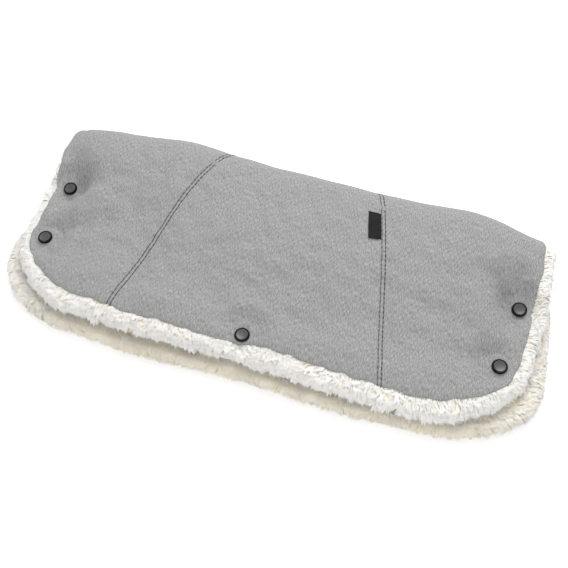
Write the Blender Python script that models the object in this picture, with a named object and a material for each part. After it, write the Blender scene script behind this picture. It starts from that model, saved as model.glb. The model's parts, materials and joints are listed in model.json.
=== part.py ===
# Stroller hand muff: a padded rectangle with a plush lining, folded over a handlebar
# along its back edge and closed by five press studs.
#
# X runs along the muff, the fold is at +Y, the open front edge at -Y, and the lower flap
# lies on z = 0. Sizes are in metres and angles in degrees. The muff opens at the fold:
# three narrow strips turn between the two flaps, so the cloth bends in four places.
#
# Every layer is laid out on a flat plan first, with x along the muff and q from the line
# above or below the fold's centre towards the front. q is negative round the fold itself.
# place() then bends the plan into the folded shape.

import bpy
import bmesh
import numpy as np
from mathutils import Vector
from mathutils.geometry import delaunay_2d_cdt

# Outline of the upper flap, measured to the seam where the outer fabric meets the plush,
# and how far the lower flap stands out beyond it at the sides and at the front
UPPER_HALF_WIDTH = 0.258
UPPER_REACH = 0.183
LOWER_SPREAD = 0.0085
LOWER_OVERHANG = 0.012
CORNER_LONG = 0.090
CORNER_DEEP = 0.068
SPREAD_REACH = 0.080

# Fold over the handlebar
FOLD_RADIUS = 0.031
FOLD_END_RADIUS = 0.0255
TAPER_START = 0.130
TAPER_POWER = 2.0
FLAP_SHARE_DEG = 22.5
STRIP_DEG = 45.0
STRIPS = 3
SEGMENT_GAP = 0.0006

# Layers, from the outside in
FABRIC = 0.0010
WADDING = 0.0025
PLUSH = 0.0085
GAP = 0.0003

# Plush rim beyond the seam
RIM_REACH = 0.0145
FOLD_RIM_REACH = 0.006
RIM_THICKNESS = 0.0155
RIM_BLEND = 0.045
RIM_NOSE = 0.0075
RIM_GAP = 0.0038
LIP_INSET = 0.0035
WADDING_INSET = 0.007

# Seams between the three outer panels, as distances from mid length
LEFT_SEAM_AT_FOLD = 0.087
LEFT_SEAM_AT_FRONT = 0.136
RIGHT_SEAM_AT_FOLD = 0.076
RIGHT_SEAM_AT_FRONT = 0.138

# Heights of the closed muff at the side seam, and how the crown falls to the front
SIDE_HEIGHT = 0.030
CROWN_POWER = 1.6
SIDE_FALL_SHARE = 0.6

# Press studs: distances in from the upper side seam and from the upper front seam
STUD_REAR_INSET = 0.0135
STUD_REAR_SETBACK = 0.1255
STUD_FRONT_INSET = 0.020
STUD_FRONT_SETBACK = 0.057
STUD_CENTRE_SETBACK = 0.010
STUD_SIDE_HEIGHT = 0.0275
STUD_CENTRE_HEIGHT = 0.0315
STUD_LIFT = 0.0028
PINCH_RADIUS = 0.036
PRESS_RADIUS = 0.018
LIFT_RADIUS = 0.020
SEAT_RADIUS = 0.0084
LIFT_SEAT_RADIUS = 0.0070

# Press stud hardware
CAP_RADIUS = 0.0075
CAP_HEIGHT = 0.0026
CAP_EDGE = 0.0009
CAP_DISH_RADIUS = 0.0042
CAP_DISH_DEPTH = 0.0004
SHAFT_RADIUS = 0.0015
SHAFT_CLEARANCE = 0.0004
HOLE_RADIUS = 0.0021
SOCKET_RADIUS = 0.00625
SOCKET_HEIGHT = 0.0042
SOCKET_RIM = 0.0010
SOCKET_ROOF = 0.0010
STUD_FLANGE_RADIUS = 0.0055
STUD_FLANGE = 0.0010
STUD_HEAD_RADIUS = 0.0027
STUD_NECK_RADIUS = 0.0024
STUD_TIP_RADIUS = 0.0019
STUD_ROOF = 0.0007
STUD_HEAD_HEIGHT = 0.0032
STUD_CLEARANCE = 0.0004
POST_FLANGE_RADIUS = 0.0055
POST_FLANGE = 0.0010

# Woven label, sewn into the right seam near the fold
LABEL_WIDTH = 0.012
LABEL_LENGTH = 0.031
LABEL_REACH = 0.012
LABEL_THICKNESS = 0.0008

# Fineness of the meshes
CLOTH_SPACING = 0.028
STUD_RING_RADIUS = 0.017
STUD_GRID_CLEARANCE = 0.020
SEAM_MARGIN = 0.0048
RING_MARGIN = 0.0012
STRIP_ROWS = 2
FLAP_ARC_ROWS = 2
CORNER_POINTS = 6
SEAM_POINTS = 8
SIDE_POINTS = 6
FRONT_POINTS = 12
SIDE_COLUMNS = 8
MIDDLE_COLUMNS = 6
CAP_SIDES = 16
HARDWARE_SIDES = 12
HOLE_SIDES = 10
SEAT_SIDES = 14
RING_SIDES = 12

# Sizes that follow from those above
LOWER_HALF_WIDTH = UPPER_HALF_WIDTH + LOWER_SPREAD
LOWER_REACH = UPPER_REACH + LOWER_OVERHANG
FOLD_CENTRE_Y = (LOWER_REACH + RIM_REACH - FOLD_RADIUS) / 2
FRONT_HEIGHT = 2 * RIM_THICKNESS + RIM_GAP
LAYERS = FABRIC + GAP + WADDING + GAP + PLUSH
SOFT_LAYERS = WADDING + PLUSH
STUD_SPACE = GAP + STUD_FLANGE + GAP + SOCKET_HEIGHT + GAP
HINGE_ANGLES = [-90 + FLAP_SHARE_DEG + STRIP_DEG * i for i in range(STRIPS + 1)]
UPPER, LOWER = 1, -1
LEFT, RIGHT = -1, 1


def smooth(t):
    t = np.clip(t, 0, 1)
    return t * t * (3 - 2 * t)


def taper(x):
    """0 over the middle of the muff, 1 at its side seams."""
    return np.clip((np.abs(x) - TAPER_START) / (UPPER_HALF_WIDTH - TAPER_START), 0, 1) ** TAPER_POWER


def fold_radius(x):
    return FOLD_RADIUS + (FOLD_END_RADIUS - FOLD_RADIUS) * taper(x)


def reach_of(side):
    return UPPER_REACH if side == UPPER else LOWER_REACH


def half_width(side, q):
    """Distance from mid length to the side seam. The lower flap spreads a little wider."""
    wide = UPPER_HALF_WIDTH if side == UPPER else LOWER_HALF_WIDTH
    return UPPER_HALF_WIDTH + (wide - UPPER_HALF_WIDTH) * smooth(q / SPREAD_REACH)


def seam_at(side, hand, q):
    """x of the left or right panel seam: a straight line on the flat cloth."""
    quarter = FOLD_RADIUS * np.pi / 2
    share = (q + quarter) / (reach_of(side) + quarter)
    if hand == LEFT:
        return -LEFT_SEAM_AT_FOLD - (LEFT_SEAM_AT_FRONT - LEFT_SEAM_AT_FOLD) * share
    return RIGHT_SEAM_AT_FOLD + (RIGHT_SEAM_AT_FRONT - RIGHT_SEAM_AT_FOLD) * share


def hinge_point(degrees):
    """A hinge line lies on the outer face of the fold, at mid length."""
    angle = np.radians(degrees)
    return np.array([0, FOLD_CENTRE_Y + FOLD_RADIUS * np.cos(angle), FOLD_RADIUS * (1 + np.sin(angle))])


def stud_slope(q, height):
    """Tangent of a stud's lean, so that its halves part along the flap's first movement."""
    centre = np.mean([hinge_point(angle) for angle in HINGE_ANGLES], axis=0)
    forward = centre[1] - (FOLD_CENTRE_Y - q)
    return (centre[2] - height / 2) / forward


def stud_table():
    """Each press stud's name, x, q in either flap, height of the cap's seat, and lean."""
    rear_x = UPPER_HALF_WIDTH - STUD_REAR_INSET
    front_x = UPPER_HALF_WIDTH - STUD_FRONT_INSET
    table = []
    for name, x, setback, height in (
        ("left_rear", -rear_x, STUD_REAR_SETBACK, STUD_SIDE_HEIGHT),
        ("left_front", -front_x, STUD_FRONT_SETBACK, STUD_SIDE_HEIGHT),
        ("centre_front", 0.0, STUD_CENTRE_SETBACK, STUD_CENTRE_HEIGHT),
        ("right_front", front_x, STUD_FRONT_SETBACK, STUD_SIDE_HEIGHT),
        ("right_rear", rear_x, STUD_REAR_SETBACK, STUD_SIDE_HEIGHT),
    ):
        q = UPPER_REACH - setback
        slope = stud_slope(q, height)
        lower_q = q - slope * (height - STUD_LIFT)
        table.append({"name": name, "x": x, UPPER: q, LOWER: lower_q, "height": height, "slope": slope})
    return table


STUDS = stud_table()


def away_from(stud, side, x, q):
    return np.hypot(x - stud["x"], q - stud[side])


def pull_of(stud, side, x, q, radius=PINCH_RADIUS, flat_radius=SEAT_RADIUS):
    """1 in a stud's flat seat, falling to 0 at radius from it."""
    return 1 - smooth((away_from(stud, side, x, q) - flat_radius) / (radius - flat_radius))


def crown(x, q):
    """Height of the closed muff's upper face, before the studs pinch it."""
    share = np.clip(q / UPPER_REACH, 0, 1)
    middle = 2 * FOLD_RADIUS - (2 * FOLD_RADIUS - FRONT_HEIGHT) * share**CROWN_POWER
    fall = smooth(share / SIDE_FALL_SHARE)
    side = 2 * FOLD_END_RADIUS - (2 * FOLD_END_RADIUS - SIDE_HEIGHT) * fall
    return middle + (side - middle) * taper(x)


def outer_face(side, x, q):
    """Height of a flap's outer face, drawn to each stud's leaning seat plane."""
    height = crown(x, q) if side == UPPER else 0 * x
    for stud in STUDS:
        level = stud["height"] if side == UPPER else STUD_LIFT
        plane = level - stud["slope"] * (q - stud[side])
        if side == UPPER:
            pull = pull_of(stud, side, x, q)
        else:
            pull = pull_of(stud, side, x, q, LIFT_RADIUS, LIFT_SEAT_RADIUS)
        height = height + (plane - height) * pull
    return np.maximum(height, 0)


def lean(side, x, q):
    """Tangent of the lean of the line along which depth is measured, nonzero near a stud."""
    return sum(stud["slope"] * pull_of(stud, side, x, q) for stud in STUDS)


def rim_thickness(q):
    return LAYERS + (RIM_THICKNESS - LAYERS) * smooth(q / RIM_BLEND)


def rim_reach(q):
    return FOLD_RIM_REACH + (RIM_REACH - FOLD_RIM_REACH) * smooth(q / RIM_BLEND)


def thickness(side, x, q, inset):
    """Whole thickness of a flap: its layers, more at the rim, and less where it is pressed."""
    edge = 1 - smooth((inset - LIP_INSET) / RIM_BLEND)
    full = LAYERS + (rim_thickness(q) - LAYERS) * edge
    room = (outer_face(UPPER, x, q) - outer_face(LOWER, x, q) - RIM_GAP) / 2
    whole = np.minimum(full, room)
    for stud in STUDS:
        layers = (stud["height"] - STUD_LIFT) / 2 - STUD_SPACE / 2 / np.hypot(stud["slope"], 1)
        whole = whole + (layers - whole) * pull_of(stud, side, x, q, PRESS_RADIUS)
    return whole


def depths(side, x, q, inset):
    """Depths under the outer face of each layer's two faces."""
    whole = thickness(side, x, q, inset)
    squeeze = (np.minimum(whole, LAYERS) - FABRIC - 2 * GAP) / SOFT_LAYERS
    wadding_top = FABRIC + GAP + 0 * x
    wadding_foot = wadding_top + WADDING * squeeze
    return {
        "skin": 0 * x,
        "fabric_foot": FABRIC + 0 * x,
        "wadding_top": wadding_top,
        "wadding_foot": wadding_foot,
        "plush_top": wadding_foot + GAP,
        "plush_foot": whole,
    }


def place(side, x, q, depth):
    """Bends plan points into the folded shape, depth under the outer face."""
    x, q, depth = np.broadcast_arrays(x, q, depth)
    radius = fold_radius(x)
    angle = np.pi / 2 + np.minimum(q, 0) / radius
    y = FOLD_CENTRE_Y - np.maximum(q, 0) + (radius - depth) * np.cos(angle)
    y = y + side * lean(side, x, q) * depth
    on_arc = radius + side * (radius - depth) * np.sin(angle)
    on_flap = outer_face(side, x, q) - side * depth
    return np.stack([x, y, np.where(q < 0, on_arc, on_flap)], axis=-1)


def place_on_strip(x, degrees, depth):
    x, degrees, depth = np.broadcast_arrays(x, degrees, depth)
    radius = fold_radius(x)
    angle = np.radians(degrees)
    y = FOLD_CENTRE_Y + (radius - depth) * np.cos(angle)
    return np.stack([x, y, radius + (radius - depth) * np.sin(angle)], axis=-1)


def q_on_fold(degrees):
    """q of a line along the fold, at an angle up or down from the level of its centre."""
    return -FOLD_RADIUS * np.radians(90 - np.abs(degrees))


def cut_at(x):
    """q of the line where a flap meets the first strip of the fold."""
    return -np.radians(FLAP_SHARE_DEG) * fold_radius(x) + SEGMENT_GAP / 2


def inside(points, polygon):
    """Even-odd test of plan points against a closed polygon."""
    x, y = points[:, 0], points[:, 1]
    result = np.zeros(len(points), bool)
    for (ax, ay), (bx, by) in zip(polygon, np.roll(polygon, -1, axis=0)):
        crosses = (ay > y) != (by > y)
        run = np.where(by == ay, 1, by - ay)
        result ^= crosses & (x < ax + (bx - ax) * (y - ay) / run)
    return result


def distance_to(points, line):
    """Least distance from plan points to an open line of points."""
    least = np.full(len(points), np.inf)
    for a, b in zip(line[:-1], line[1:]):
        along = b - a
        share = np.clip(((points - a) @ along) / (along @ along), 0, 1)
        least = np.minimum(least, np.linalg.norm(points - a - share[:, None] * along, axis=1))
    return least


def columns(side, q):
    """x of the mesh's columns at q, from the left side seam to the right one."""
    ends = UPPER_HALF_WIDTH - WADDING_INSET
    left, right = seam_at(side, LEFT, q), seam_at(side, RIGHT, q)
    left_part = np.linspace(-ends, left - GAP / 2, SIDE_COLUMNS)
    middle = np.linspace(left + GAP / 2, right - GAP / 2, MIDDLE_COLUMNS)
    right_part = np.linspace(right + GAP / 2, ends, SIDE_COLUMNS)
    rim = np.array([UPPER_HALF_WIDTH, UPPER_HALF_WIDTH - LIP_INSET])
    return np.concatenate([-rim, left_part, middle, right_part, rim[::-1]])


def flap_outline(side):
    """The side and front seams of a flap, from its left end at the fold to its right end."""
    reach = reach_of(side)
    wide = half_width(side, reach)
    arc = np.linspace(cut_at(UPPER_HALF_WIDTH), 0, FLAP_ARC_ROWS + 1)
    straight = np.linspace(0, reach - CORNER_DEEP, SIDE_POINTS)[1:]
    side_q = np.concatenate([arc, straight])
    side_line = np.stack([half_width(side, side_q), side_q], axis=1)
    turn = np.linspace(0, np.pi / 2, CORNER_POINTS + 1)[1:]
    corner_x = wide - CORNER_LONG + CORNER_LONG * np.cos(turn)
    corner_q = reach - CORNER_DEEP + CORNER_DEEP * np.sin(turn)
    end = np.concatenate([side_line, np.stack([corner_x, corner_q], axis=1)])
    left, right = seam_at(side, LEFT, reach), seam_at(side, RIGHT, reach)
    front_x = np.concatenate(
        [
            np.linspace(CORNER_LONG - wide, left - GAP / 2, 3)[1:],
            np.linspace(left + GAP / 2, right - GAP / 2, FRONT_POINTS),
            np.linspace(right + GAP / 2, wide - CORNER_LONG, 3)[:-1],
        ]
    )
    front = np.stack([front_x, np.full(len(front_x), reach)], axis=1)
    return np.concatenate([end * [-1, 1], front, end[::-1]])


def outward(line):
    """Unit normals of an open line, pointing away from the flap's middle."""
    along = np.gradient(line, axis=0)
    normal = np.stack([-along[:, 1], along[:, 0]], axis=1)
    return normal / np.linalg.norm(normal, axis=1)[:, None]


def ring(centre_x, centre_q, radius, count):
    turn = np.arange(count) * 2 * np.pi / count
    return np.stack([centre_x + radius * np.cos(turn), centre_q + radius * np.sin(turn)], axis=1)


def flap_plan(side):
    """Triangles on the flat plan of a flap, with its seams, rings and stud seats as edges."""
    outline = flap_outline(side)
    normal = outward(outline)
    normal[0] = [-1, 0]
    normal[-1] = [1, 0]
    points = []
    edges = []

    def add_line(line, closed=False):
        first = len(points)
        points.extend(line)
        edges.extend((first + i, first + i + 1) for i in range(len(line) - 1))
        if closed:
            edges.append((first + len(line) - 1, first))

    cut_x = columns(side, cut_at(0.0))[::-1]
    cut = np.stack([cut_x, cut_at(cut_x)], axis=1)
    add_line(np.concatenate([outline, cut[1:-1]]), closed=True)
    rings = {}
    for inset in (LIP_INSET, WADDING_INSET):
        line = outline - normal * inset
        for end, sign in ((0, -1), (-1, 1)):
            x = sign * (UPPER_HALF_WIDTH - inset)
            line[end] = [x, cut_at(x)]
        rings[inset] = line
        add_line(line)
    for hand in (LEFT, RIGHT):
        for shift in (-GAP / 2, GAP / 2):
            seam_q = np.concatenate([[cut_at(0.0)], np.linspace(0, reach_of(side), SEAM_POINTS)])
            add_line(np.stack([seam_at(side, hand, seam_q) + shift, seam_q], axis=1))
    loose = []
    for stud in STUDS:
        add_line(ring(stud["x"], stud[side], HOLE_RADIUS, HOLE_SIDES), closed=True)
        add_line(ring(stud["x"], stud[side], SEAT_RADIUS, SEAT_SIDES), closed=True)
        loose.append(ring(stud["x"], stud[side], STUD_RING_RADIUS, RING_SIDES))
    across = np.arange(-LOWER_HALF_WIDTH, LOWER_HALF_WIDTH, CLOTH_SPACING) + CLOTH_SPACING / 2
    deep = np.arange(0, reach_of(side), CLOTH_SPACING)
    grid = np.stack(np.meshgrid(across, deep), axis=-1).reshape(-1, 2)
    for stud in STUDS:
        grid = grid[away_from(stud, side, grid[:, 0], grid[:, 1]) > STUD_GRID_CLEARANCE]
    loose = np.concatenate(loose + [grid])
    border = np.concatenate([outline, cut[1:-1]])
    keep = inside(loose, border) & (distance_to(loose, outline) > WADDING_INSET + RING_MARGIN)
    for hand in (LEFT, RIGHT):
        keep &= np.abs(loose[:, 0] - seam_at(side, hand, loose[:, 1])) > SEAM_MARGIN
    points.extend(loose[keep])
    made = delaunay_2d_cdt([Vector(p) for p in points], edges, [], 1, 1e-7, False)
    flat = np.array([list(v) for v in made[0]])
    triangles = np.array([list(face) for face in made[2]])
    centres = flat[triangles].mean(axis=1)
    cloth = inside(centres, border)
    for stud in STUDS:
        cloth &= away_from(stud, side, centres[:, 0], centres[:, 1]) > HOLE_RADIUS
    triangles = triangles[cloth]
    centres = centres[cloth]
    close_line = np.stack([cut_x[1:-1], cut_at(cut_x[1:-1])], axis=1)
    rim = np.zeros(flat.shape)
    near = distance_to(flat, rings[LIP_INSET]) < 1e-6
    for index in np.flatnonzero(near):
        nearest = np.argmin(np.linalg.norm(outline - flat[index], axis=1))
        rim[index] = normal[nearest]
    within = {inset: inside(centres, np.concatenate([line, close_line])) for inset, line in rings.items()}
    return {
        "flat": flat,
        "triangles": triangles,
        "centres": centres,
        "rim": rim,
        "inset": distance_to(flat, outline),
        "within": within,
    }


def strip_plan(first, last):
    """Triangles on the plan of one strip of the fold, between two angles in degrees."""
    trim = np.degrees(SEGMENT_GAP / 2 / FOLD_RADIUS)
    rows = []
    for degrees in np.linspace(first + trim, last - trim, STRIP_ROWS + 1):
        x = columns(UPPER, q_on_fold(degrees))
        rows.append(np.stack([x, np.full(len(x), degrees)], axis=1))
    flat = np.concatenate(rows)
    count = len(rows[0])
    triangles = []
    for row in range(STRIP_ROWS):
        for i in range(count - 1):
            a = row * count + i
            triangles += [(a, a + 1, a + count + 1), (a, a + count + 1, a + count)]
    triangles = np.array(triangles)
    centres = flat[triangles].mean(axis=1)
    rim = np.zeros(flat.shape)
    on_lip = np.isclose(np.abs(flat[:, 0]), UPPER_HALF_WIDTH - LIP_INSET)
    rim[on_lip, 0] = np.sign(flat[on_lip, 0])
    within = {
        inset: np.abs(centres[:, 0]) < UPPER_HALF_WIDTH - inset
        for inset in (LIP_INSET, WADDING_INSET)
    }
    return {
        "flat": flat,
        "triangles": triangles,
        "centres": centres,
        "rim": rim,
        "inset": UPPER_HALF_WIDTH - np.abs(flat[:, 0]),
        "within": within,
    }


def border_loops(triangles):
    """The closed loops of edges that belong to one triangle only."""
    ends = np.concatenate([triangles[:, [0, 1]], triangles[:, [1, 2]], triangles[:, [2, 0]]])
    present = {tuple(e) for e in ends}
    after = {a: b for a, b in present if (b, a) not in present}
    loops = []
    while after:
        start, step = after.popitem()
        loop = [start]
        while step != start:
            loop.append(step)
            step = after.pop(step)
        loops.append(loop)
    return loops


def nose_rows(reach):
    """Rows round the plush rim: distance out from the lip, and share of the way down it."""
    total = LIP_INSET + reach
    nose = min(RIM_NOSE, reach)
    out = [LIP_INSET]
    share = [0.0]
    for turn in np.radians([65, 32, 0, -32, -65]):
        out.append(total - nose + nose * np.cos(turn))
        share.append((1 - np.sin(turn)) / 2)
    return np.array(out + [LIP_INSET]), np.array(share + [1.0])


def layer(plan, chosen, top, foot, locate, rim_of=None):
    """A closed slab over the chosen triangles, between two depths, with a rolled rim if asked."""
    triangles = plan["triangles"][chosen]
    used, compact = np.unique(triangles, return_inverse=True)
    triangles = compact.reshape(-1, 3)
    flat = plan["flat"][used]
    rim = plan["rim"][used]
    top = top[used]
    foot = foot[used]
    count = len(used)
    points = list(locate(flat[:, 0], flat[:, 1], top)) + list(locate(flat[:, 0], flat[:, 1], foot))
    faces = [tuple(t) for t in triangles] + [tuple(t[::-1] + count) for t in triangles]
    rolled = {}
    if rim_of is not None:
        for index in np.flatnonzero(np.abs(rim).sum(axis=1) > 0):
            x, q, deep = rim_of(flat[index], rim[index])
            first = len(points)
            points.extend(locate(x, q, deep))
            rolled[index] = [index, *range(first, first + len(x)), index + count]
    for loop in border_loops(triangles):
        for a, b in zip(loop, loop[1:] + loop[:1]):
            if a in rolled and b in rolled:
                chain_a, chain_b = rolled[a], rolled[b]
                for k in range(len(chain_a) - 1):
                    faces.append((chain_a[k], chain_b[k], chain_b[k + 1], chain_a[k + 1]))
                continue
            faces.append((a, b, b + count, a + count))
            for end in (a, b):
                if end in rolled:
                    faces.append(tuple(rolled[end]))
    return np.array(points), faces


def material(name, colour, roughness, metallic=0.0):
    made = bpy.data.materials.new(name)
    made.use_nodes = True
    shader = made.node_tree.nodes["Principled BSDF"]
    shader.inputs["Base Color"].default_value = (*colour, 1)
    shader.inputs["Roughness"].default_value = roughness
    shader.inputs["Metallic"].default_value = metallic
    made.diffuse_color = (*colour, 1)
    return made


def make_materials():
    return {
        "outer_fabric": material("outer_fabric", (0.36, 0.36, 0.36), 0.9),
        "wadding": material("wadding", (0.85, 0.85, 0.83), 1.0),
        "plush": material("plush", (0.80, 0.77, 0.70), 1.0),
        "label": material("label", (0.012, 0.012, 0.013), 0.7),
        "black_metal": material("black_metal", (0.015, 0.015, 0.016), 0.35),
    }


def make_body(name, parent, origin):
    """An empty on a body's hinge line, which its pieces are parented to."""
    empty = bpy.data.objects.new(name + "_axis", None)
    bpy.context.collection.objects.link(empty)
    offset = np.array(origin) - (parent["origin"] if parent else 0)
    empty.location = Vector(offset)
    empty.parent = parent["empty"] if parent else None
    return {"empty": empty, "origin": np.array(origin, float)}


def add_piece(name, points, faces, body, finish, smooth_angle=40):
    mesh = bpy.data.meshes.new(name)
    mesh.from_pydata([tuple(p) for p in points - body["origin"]], [], faces)
    work = bmesh.new()
    work.from_mesh(mesh)
    bmesh.ops.recalc_face_normals(work, faces=work.faces)
    bmesh.ops.triangulate(work, faces=work.faces)
    work.to_mesh(mesh)
    work.free()
    mesh.shade_smooth()
    mesh.set_sharp_from_angle(angle=np.radians(smooth_angle))
    mesh.materials.append(finish)
    piece = bpy.data.objects.new(name, mesh)
    bpy.context.collection.objects.link(piece)
    piece.parent = body["empty"]
    return piece


def turned(name, profile, origin, axis, body, finish, sides=HARDWARE_SIDES):
    """A profile of (radius, height) turned about an axis. A radius of 0 closes it there."""
    axis = np.array(axis) / np.linalg.norm(axis)
    across = np.array([1.0, 0, 0])
    beside = np.cross(axis, across)
    points, rows = [], []
    for radius, height in profile:
        if radius == 0:
            rows.append([len(points)] * sides)
            points.append(origin + axis * height)
            continue
        rows.append(list(range(len(points), len(points) + sides)))
        for turn in np.arange(sides) * 2 * np.pi / sides:
            points.append(origin + axis * height + radius * (np.cos(turn) * across + np.sin(turn) * beside))
    closed = profile[0][0] > 0
    pairs = zip(rows, rows[1:] + rows[:1]) if closed else zip(rows[:-1], rows[1:])
    faces = []
    for row, following in pairs:
        for i in range(sides):
            j = (i + 1) % sides
            corners = list(dict.fromkeys((row[i], row[j], following[j], following[i])))
            if len(corners) > 2:
                faces.append(tuple(corners))
    return add_piece(name, np.array(points), faces, body, finish)


def make_layers(plan, suffix, body, finishes, locate, depth_table, rim_of, seams):
    """The outer panels, the wadding and the lining of one flap or strip."""
    x = plan["centres"][:, 0]
    left, right = seams
    panels = {
        "left": x < left - GAP / 2,
        "centre": (x > left + GAP / 2) & (x < right - GAP / 2),
        "right": x > right + GAP / 2,
    }
    for place_name, chosen in panels.items():
        points, faces = layer(plan, chosen, depth_table["skin"], depth_table["fabric_foot"], locate)
        add_piece(f"outer_{place_name}_{suffix}", points, faces, body, finishes["outer_fabric"])
    chosen = plan["within"][WADDING_INSET]
    points, faces = layer(plan, chosen, depth_table["wadding_top"], depth_table["wadding_foot"], locate)
    add_piece(f"wadding_{suffix}", points, faces, body, finishes["wadding"])
    chosen = plan["within"][LIP_INSET]
    tops, feet = depth_table["plush_top"], depth_table["plush_foot"]
    points, faces = layer(plan, chosen, tops, feet, locate, rim_of)
    add_piece(f"lining_{suffix}", points, faces, body, finishes["plush"])


def make_flap(side, suffix, body, finishes):
    plan = flap_plan(side)
    x, q = plan["flat"][:, 0], plan["flat"][:, 1]
    table = depths(side, x, q, plan["inset"])
    seams = [seam_at(side, hand, plan["centres"][:, 1]) for hand in (LEFT, RIGHT)]

    def locate(plan_x, plan_q, depth):
        return place(side, plan_x, plan_q, depth)

    def rim_of(lip, normal):
        out, share = nose_rows(rim_reach(lip[1]))
        rim_x = lip[0] + normal[0] * out
        rim_q = lip[1] + normal[1] * out
        whole = thickness(side, rim_x, rim_q, LIP_INSET - out)
        return rim_x, rim_q, FABRIC + GAP + (whole - FABRIC - GAP) * share

    make_layers(plan, suffix, body, finishes, locate, table, rim_of, seams)


def make_strip(number, body, finishes):
    first, last = HINGE_ANGLES[number - 1], HINGE_ANGLES[number]
    plan = strip_plan(first, last)
    flat = plan["flat"]
    table = depths(UPPER, flat[:, 0], 0 * flat[:, 0], plan["inset"])
    along = q_on_fold(plan["centres"][:, 1])
    seams = [seam_at(UPPER, hand, along) for hand in (LEFT, RIGHT)]

    def rim_of(lip, normal):
        out, share = nose_rows(FOLD_RIM_REACH)
        deep = FABRIC + GAP + (LAYERS - FABRIC - GAP) * share
        return lip[0] + normal[0] * out, np.full(len(out), lip[1]), deep

    make_layers(plan, f"fold_strip_{number}", body, finishes, place_on_strip, table, rim_of, seams)


def make_stud(stud, upper, lower, finish):
    """The four pieces of one press stud. h runs along its axis from the lower outer face."""
    name = stud["name"]
    stretch = np.hypot(stud["slope"], 1)
    axis = np.array([0, -stud["slope"], 1]) / stretch
    seat = np.array([stud["x"], FOLD_CENTRE_Y - stud[LOWER], STUD_LIFT])
    across = (stud["height"] - STUD_LIFT) * stretch
    layers = (across - STUD_SPACE) / 2
    bore = SHAFT_RADIUS + SHAFT_CLEARANCE
    stud_foot = layers + GAP
    flange_top = stud_foot + STUD_FLANGE
    stud_top = flange_top + STUD_HEAD_HEIGHT
    bore_top = stud_top - STUD_ROOF
    socket_foot = flange_top + GAP
    socket_top = socket_foot + SOCKET_HEIGHT
    cavity_top = socket_top - SOCKET_ROOF
    cavity = STUD_HEAD_RADIUS + STUD_CLEARANCE
    cap_foot = across + GAP
    cap_top = cap_foot + CAP_HEIGHT
    shaft_foot = cavity_top + GAP
    stud_profile = [
        (0, stud_top),
        (STUD_TIP_RADIUS, stud_top),
        (STUD_HEAD_RADIUS, stud_top - STUD_HEAD_HEIGHT / 3),
        (STUD_NECK_RADIUS, flange_top + STUD_HEAD_HEIGHT / 3),
        (STUD_NECK_RADIUS, flange_top),
        (STUD_FLANGE_RADIUS, flange_top),
        (STUD_FLANGE_RADIUS, stud_foot),
        (bore, stud_foot),
        (bore, bore_top),
        (0, bore_top),
    ]
    post_profile = [
        (0, bore_top - GAP),
        (SHAFT_RADIUS, bore_top - GAP),
        (SHAFT_RADIUS, -GAP),
        (POST_FLANGE_RADIUS, -GAP),
        (POST_FLANGE_RADIUS, -GAP - POST_FLANGE),
        (0, -GAP - POST_FLANGE),
    ]
    socket_profile = [
        (cavity, socket_foot),
        (SOCKET_RADIUS - SOCKET_RIM / 2, socket_foot),
        (SOCKET_RADIUS, socket_foot + SOCKET_RIM),
        (SOCKET_RADIUS, socket_top),
        (bore, socket_top),
        (bore, cavity_top),
        (cavity, cavity_top),
    ]
    cap_profile = [
        (0, cap_top - CAP_DISH_DEPTH),
        (CAP_DISH_RADIUS, cap_top - CAP_DISH_DEPTH),
        (CAP_DISH_RADIUS + 2 * CAP_DISH_DEPTH, cap_top),
        (CAP_RADIUS - CAP_EDGE, cap_foot + 2 * CAP_EDGE),
        (CAP_RADIUS, cap_foot + CAP_EDGE),
        (CAP_RADIUS, cap_foot),
        (SHAFT_RADIUS, cap_foot),
        (SHAFT_RADIUS, shaft_foot),
        (0, shaft_foot),
    ]
    turned(f"post_{name}", post_profile, seat, axis, lower, finish)
    turned(f"stud_{name}", stud_profile, seat, axis, lower, finish)
    turned(f"socket_{name}", socket_profile, seat, axis, upper, finish)
    turned(f"cap_{name}", cap_profile, seat, axis, upper, finish, CAP_SIDES)


def make_label(body, finish):
    """A small woven tab lying on the upper centre panel, one edge in the right seam."""
    rows = np.linspace(LABEL_REACH, LABEL_REACH + LABEL_LENGTH, 4)
    points = []
    for depth in (-GAP - LABEL_THICKNESS, -GAP):
        for q in rows:
            right = seam_at(UPPER, RIGHT, q)
            for x in (right - LABEL_WIDTH, right - LABEL_WIDTH / 2, right):
                points.append(place(UPPER, x, q, depth))
    wide, deep = 3, len(rows)
    count = wide * deep
    faces = []
    for row in range(deep - 1):
        for i in range(wide - 1):
            a = row * wide + i
            faces.append((a, a + 1, a + wide + 1, a + wide))
            faces.append((a + count, a + wide + count, a + wide + 1 + count, a + 1 + count))
    edge = [row * wide for row in range(deep)]
    edge += [(deep - 1) * wide + i for i in range(1, wide)]
    edge += [row * wide + wide - 1 for row in range(deep - 2, -1, -1)]
    edge += [i for i in range(wide - 2, 0, -1)]
    for a, b in zip(edge, edge[1:] + edge[:1]):
        faces.append((a, b, b + count, a + count))
    add_piece("label", np.array(points), faces, body, finish)


def build_muff():
    finishes = make_materials()
    lower = make_body("lower_flap", None, (0, 0, 0))
    make_flap(LOWER, "lower", lower, finishes)
    parent = lower
    for number in range(1, STRIPS + 1):
        strip = make_body(f"fold_strip_{number}", parent, hinge_point(HINGE_ANGLES[number - 1]))
        make_strip(number, strip, finishes)
        parent = strip
    upper = make_body("upper_flap", parent, hinge_point(HINGE_ANGLES[-1]))
    make_flap(UPPER, "upper", upper, finishes)
    make_label(upper, finishes["label"])
    for stud in STUDS:
        make_stud(stud, upper, lower, finishes["black_metal"])


for old in list(bpy.data.objects):
    bpy.data.objects.remove(old, do_unlink=True)
build_muff()
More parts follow.
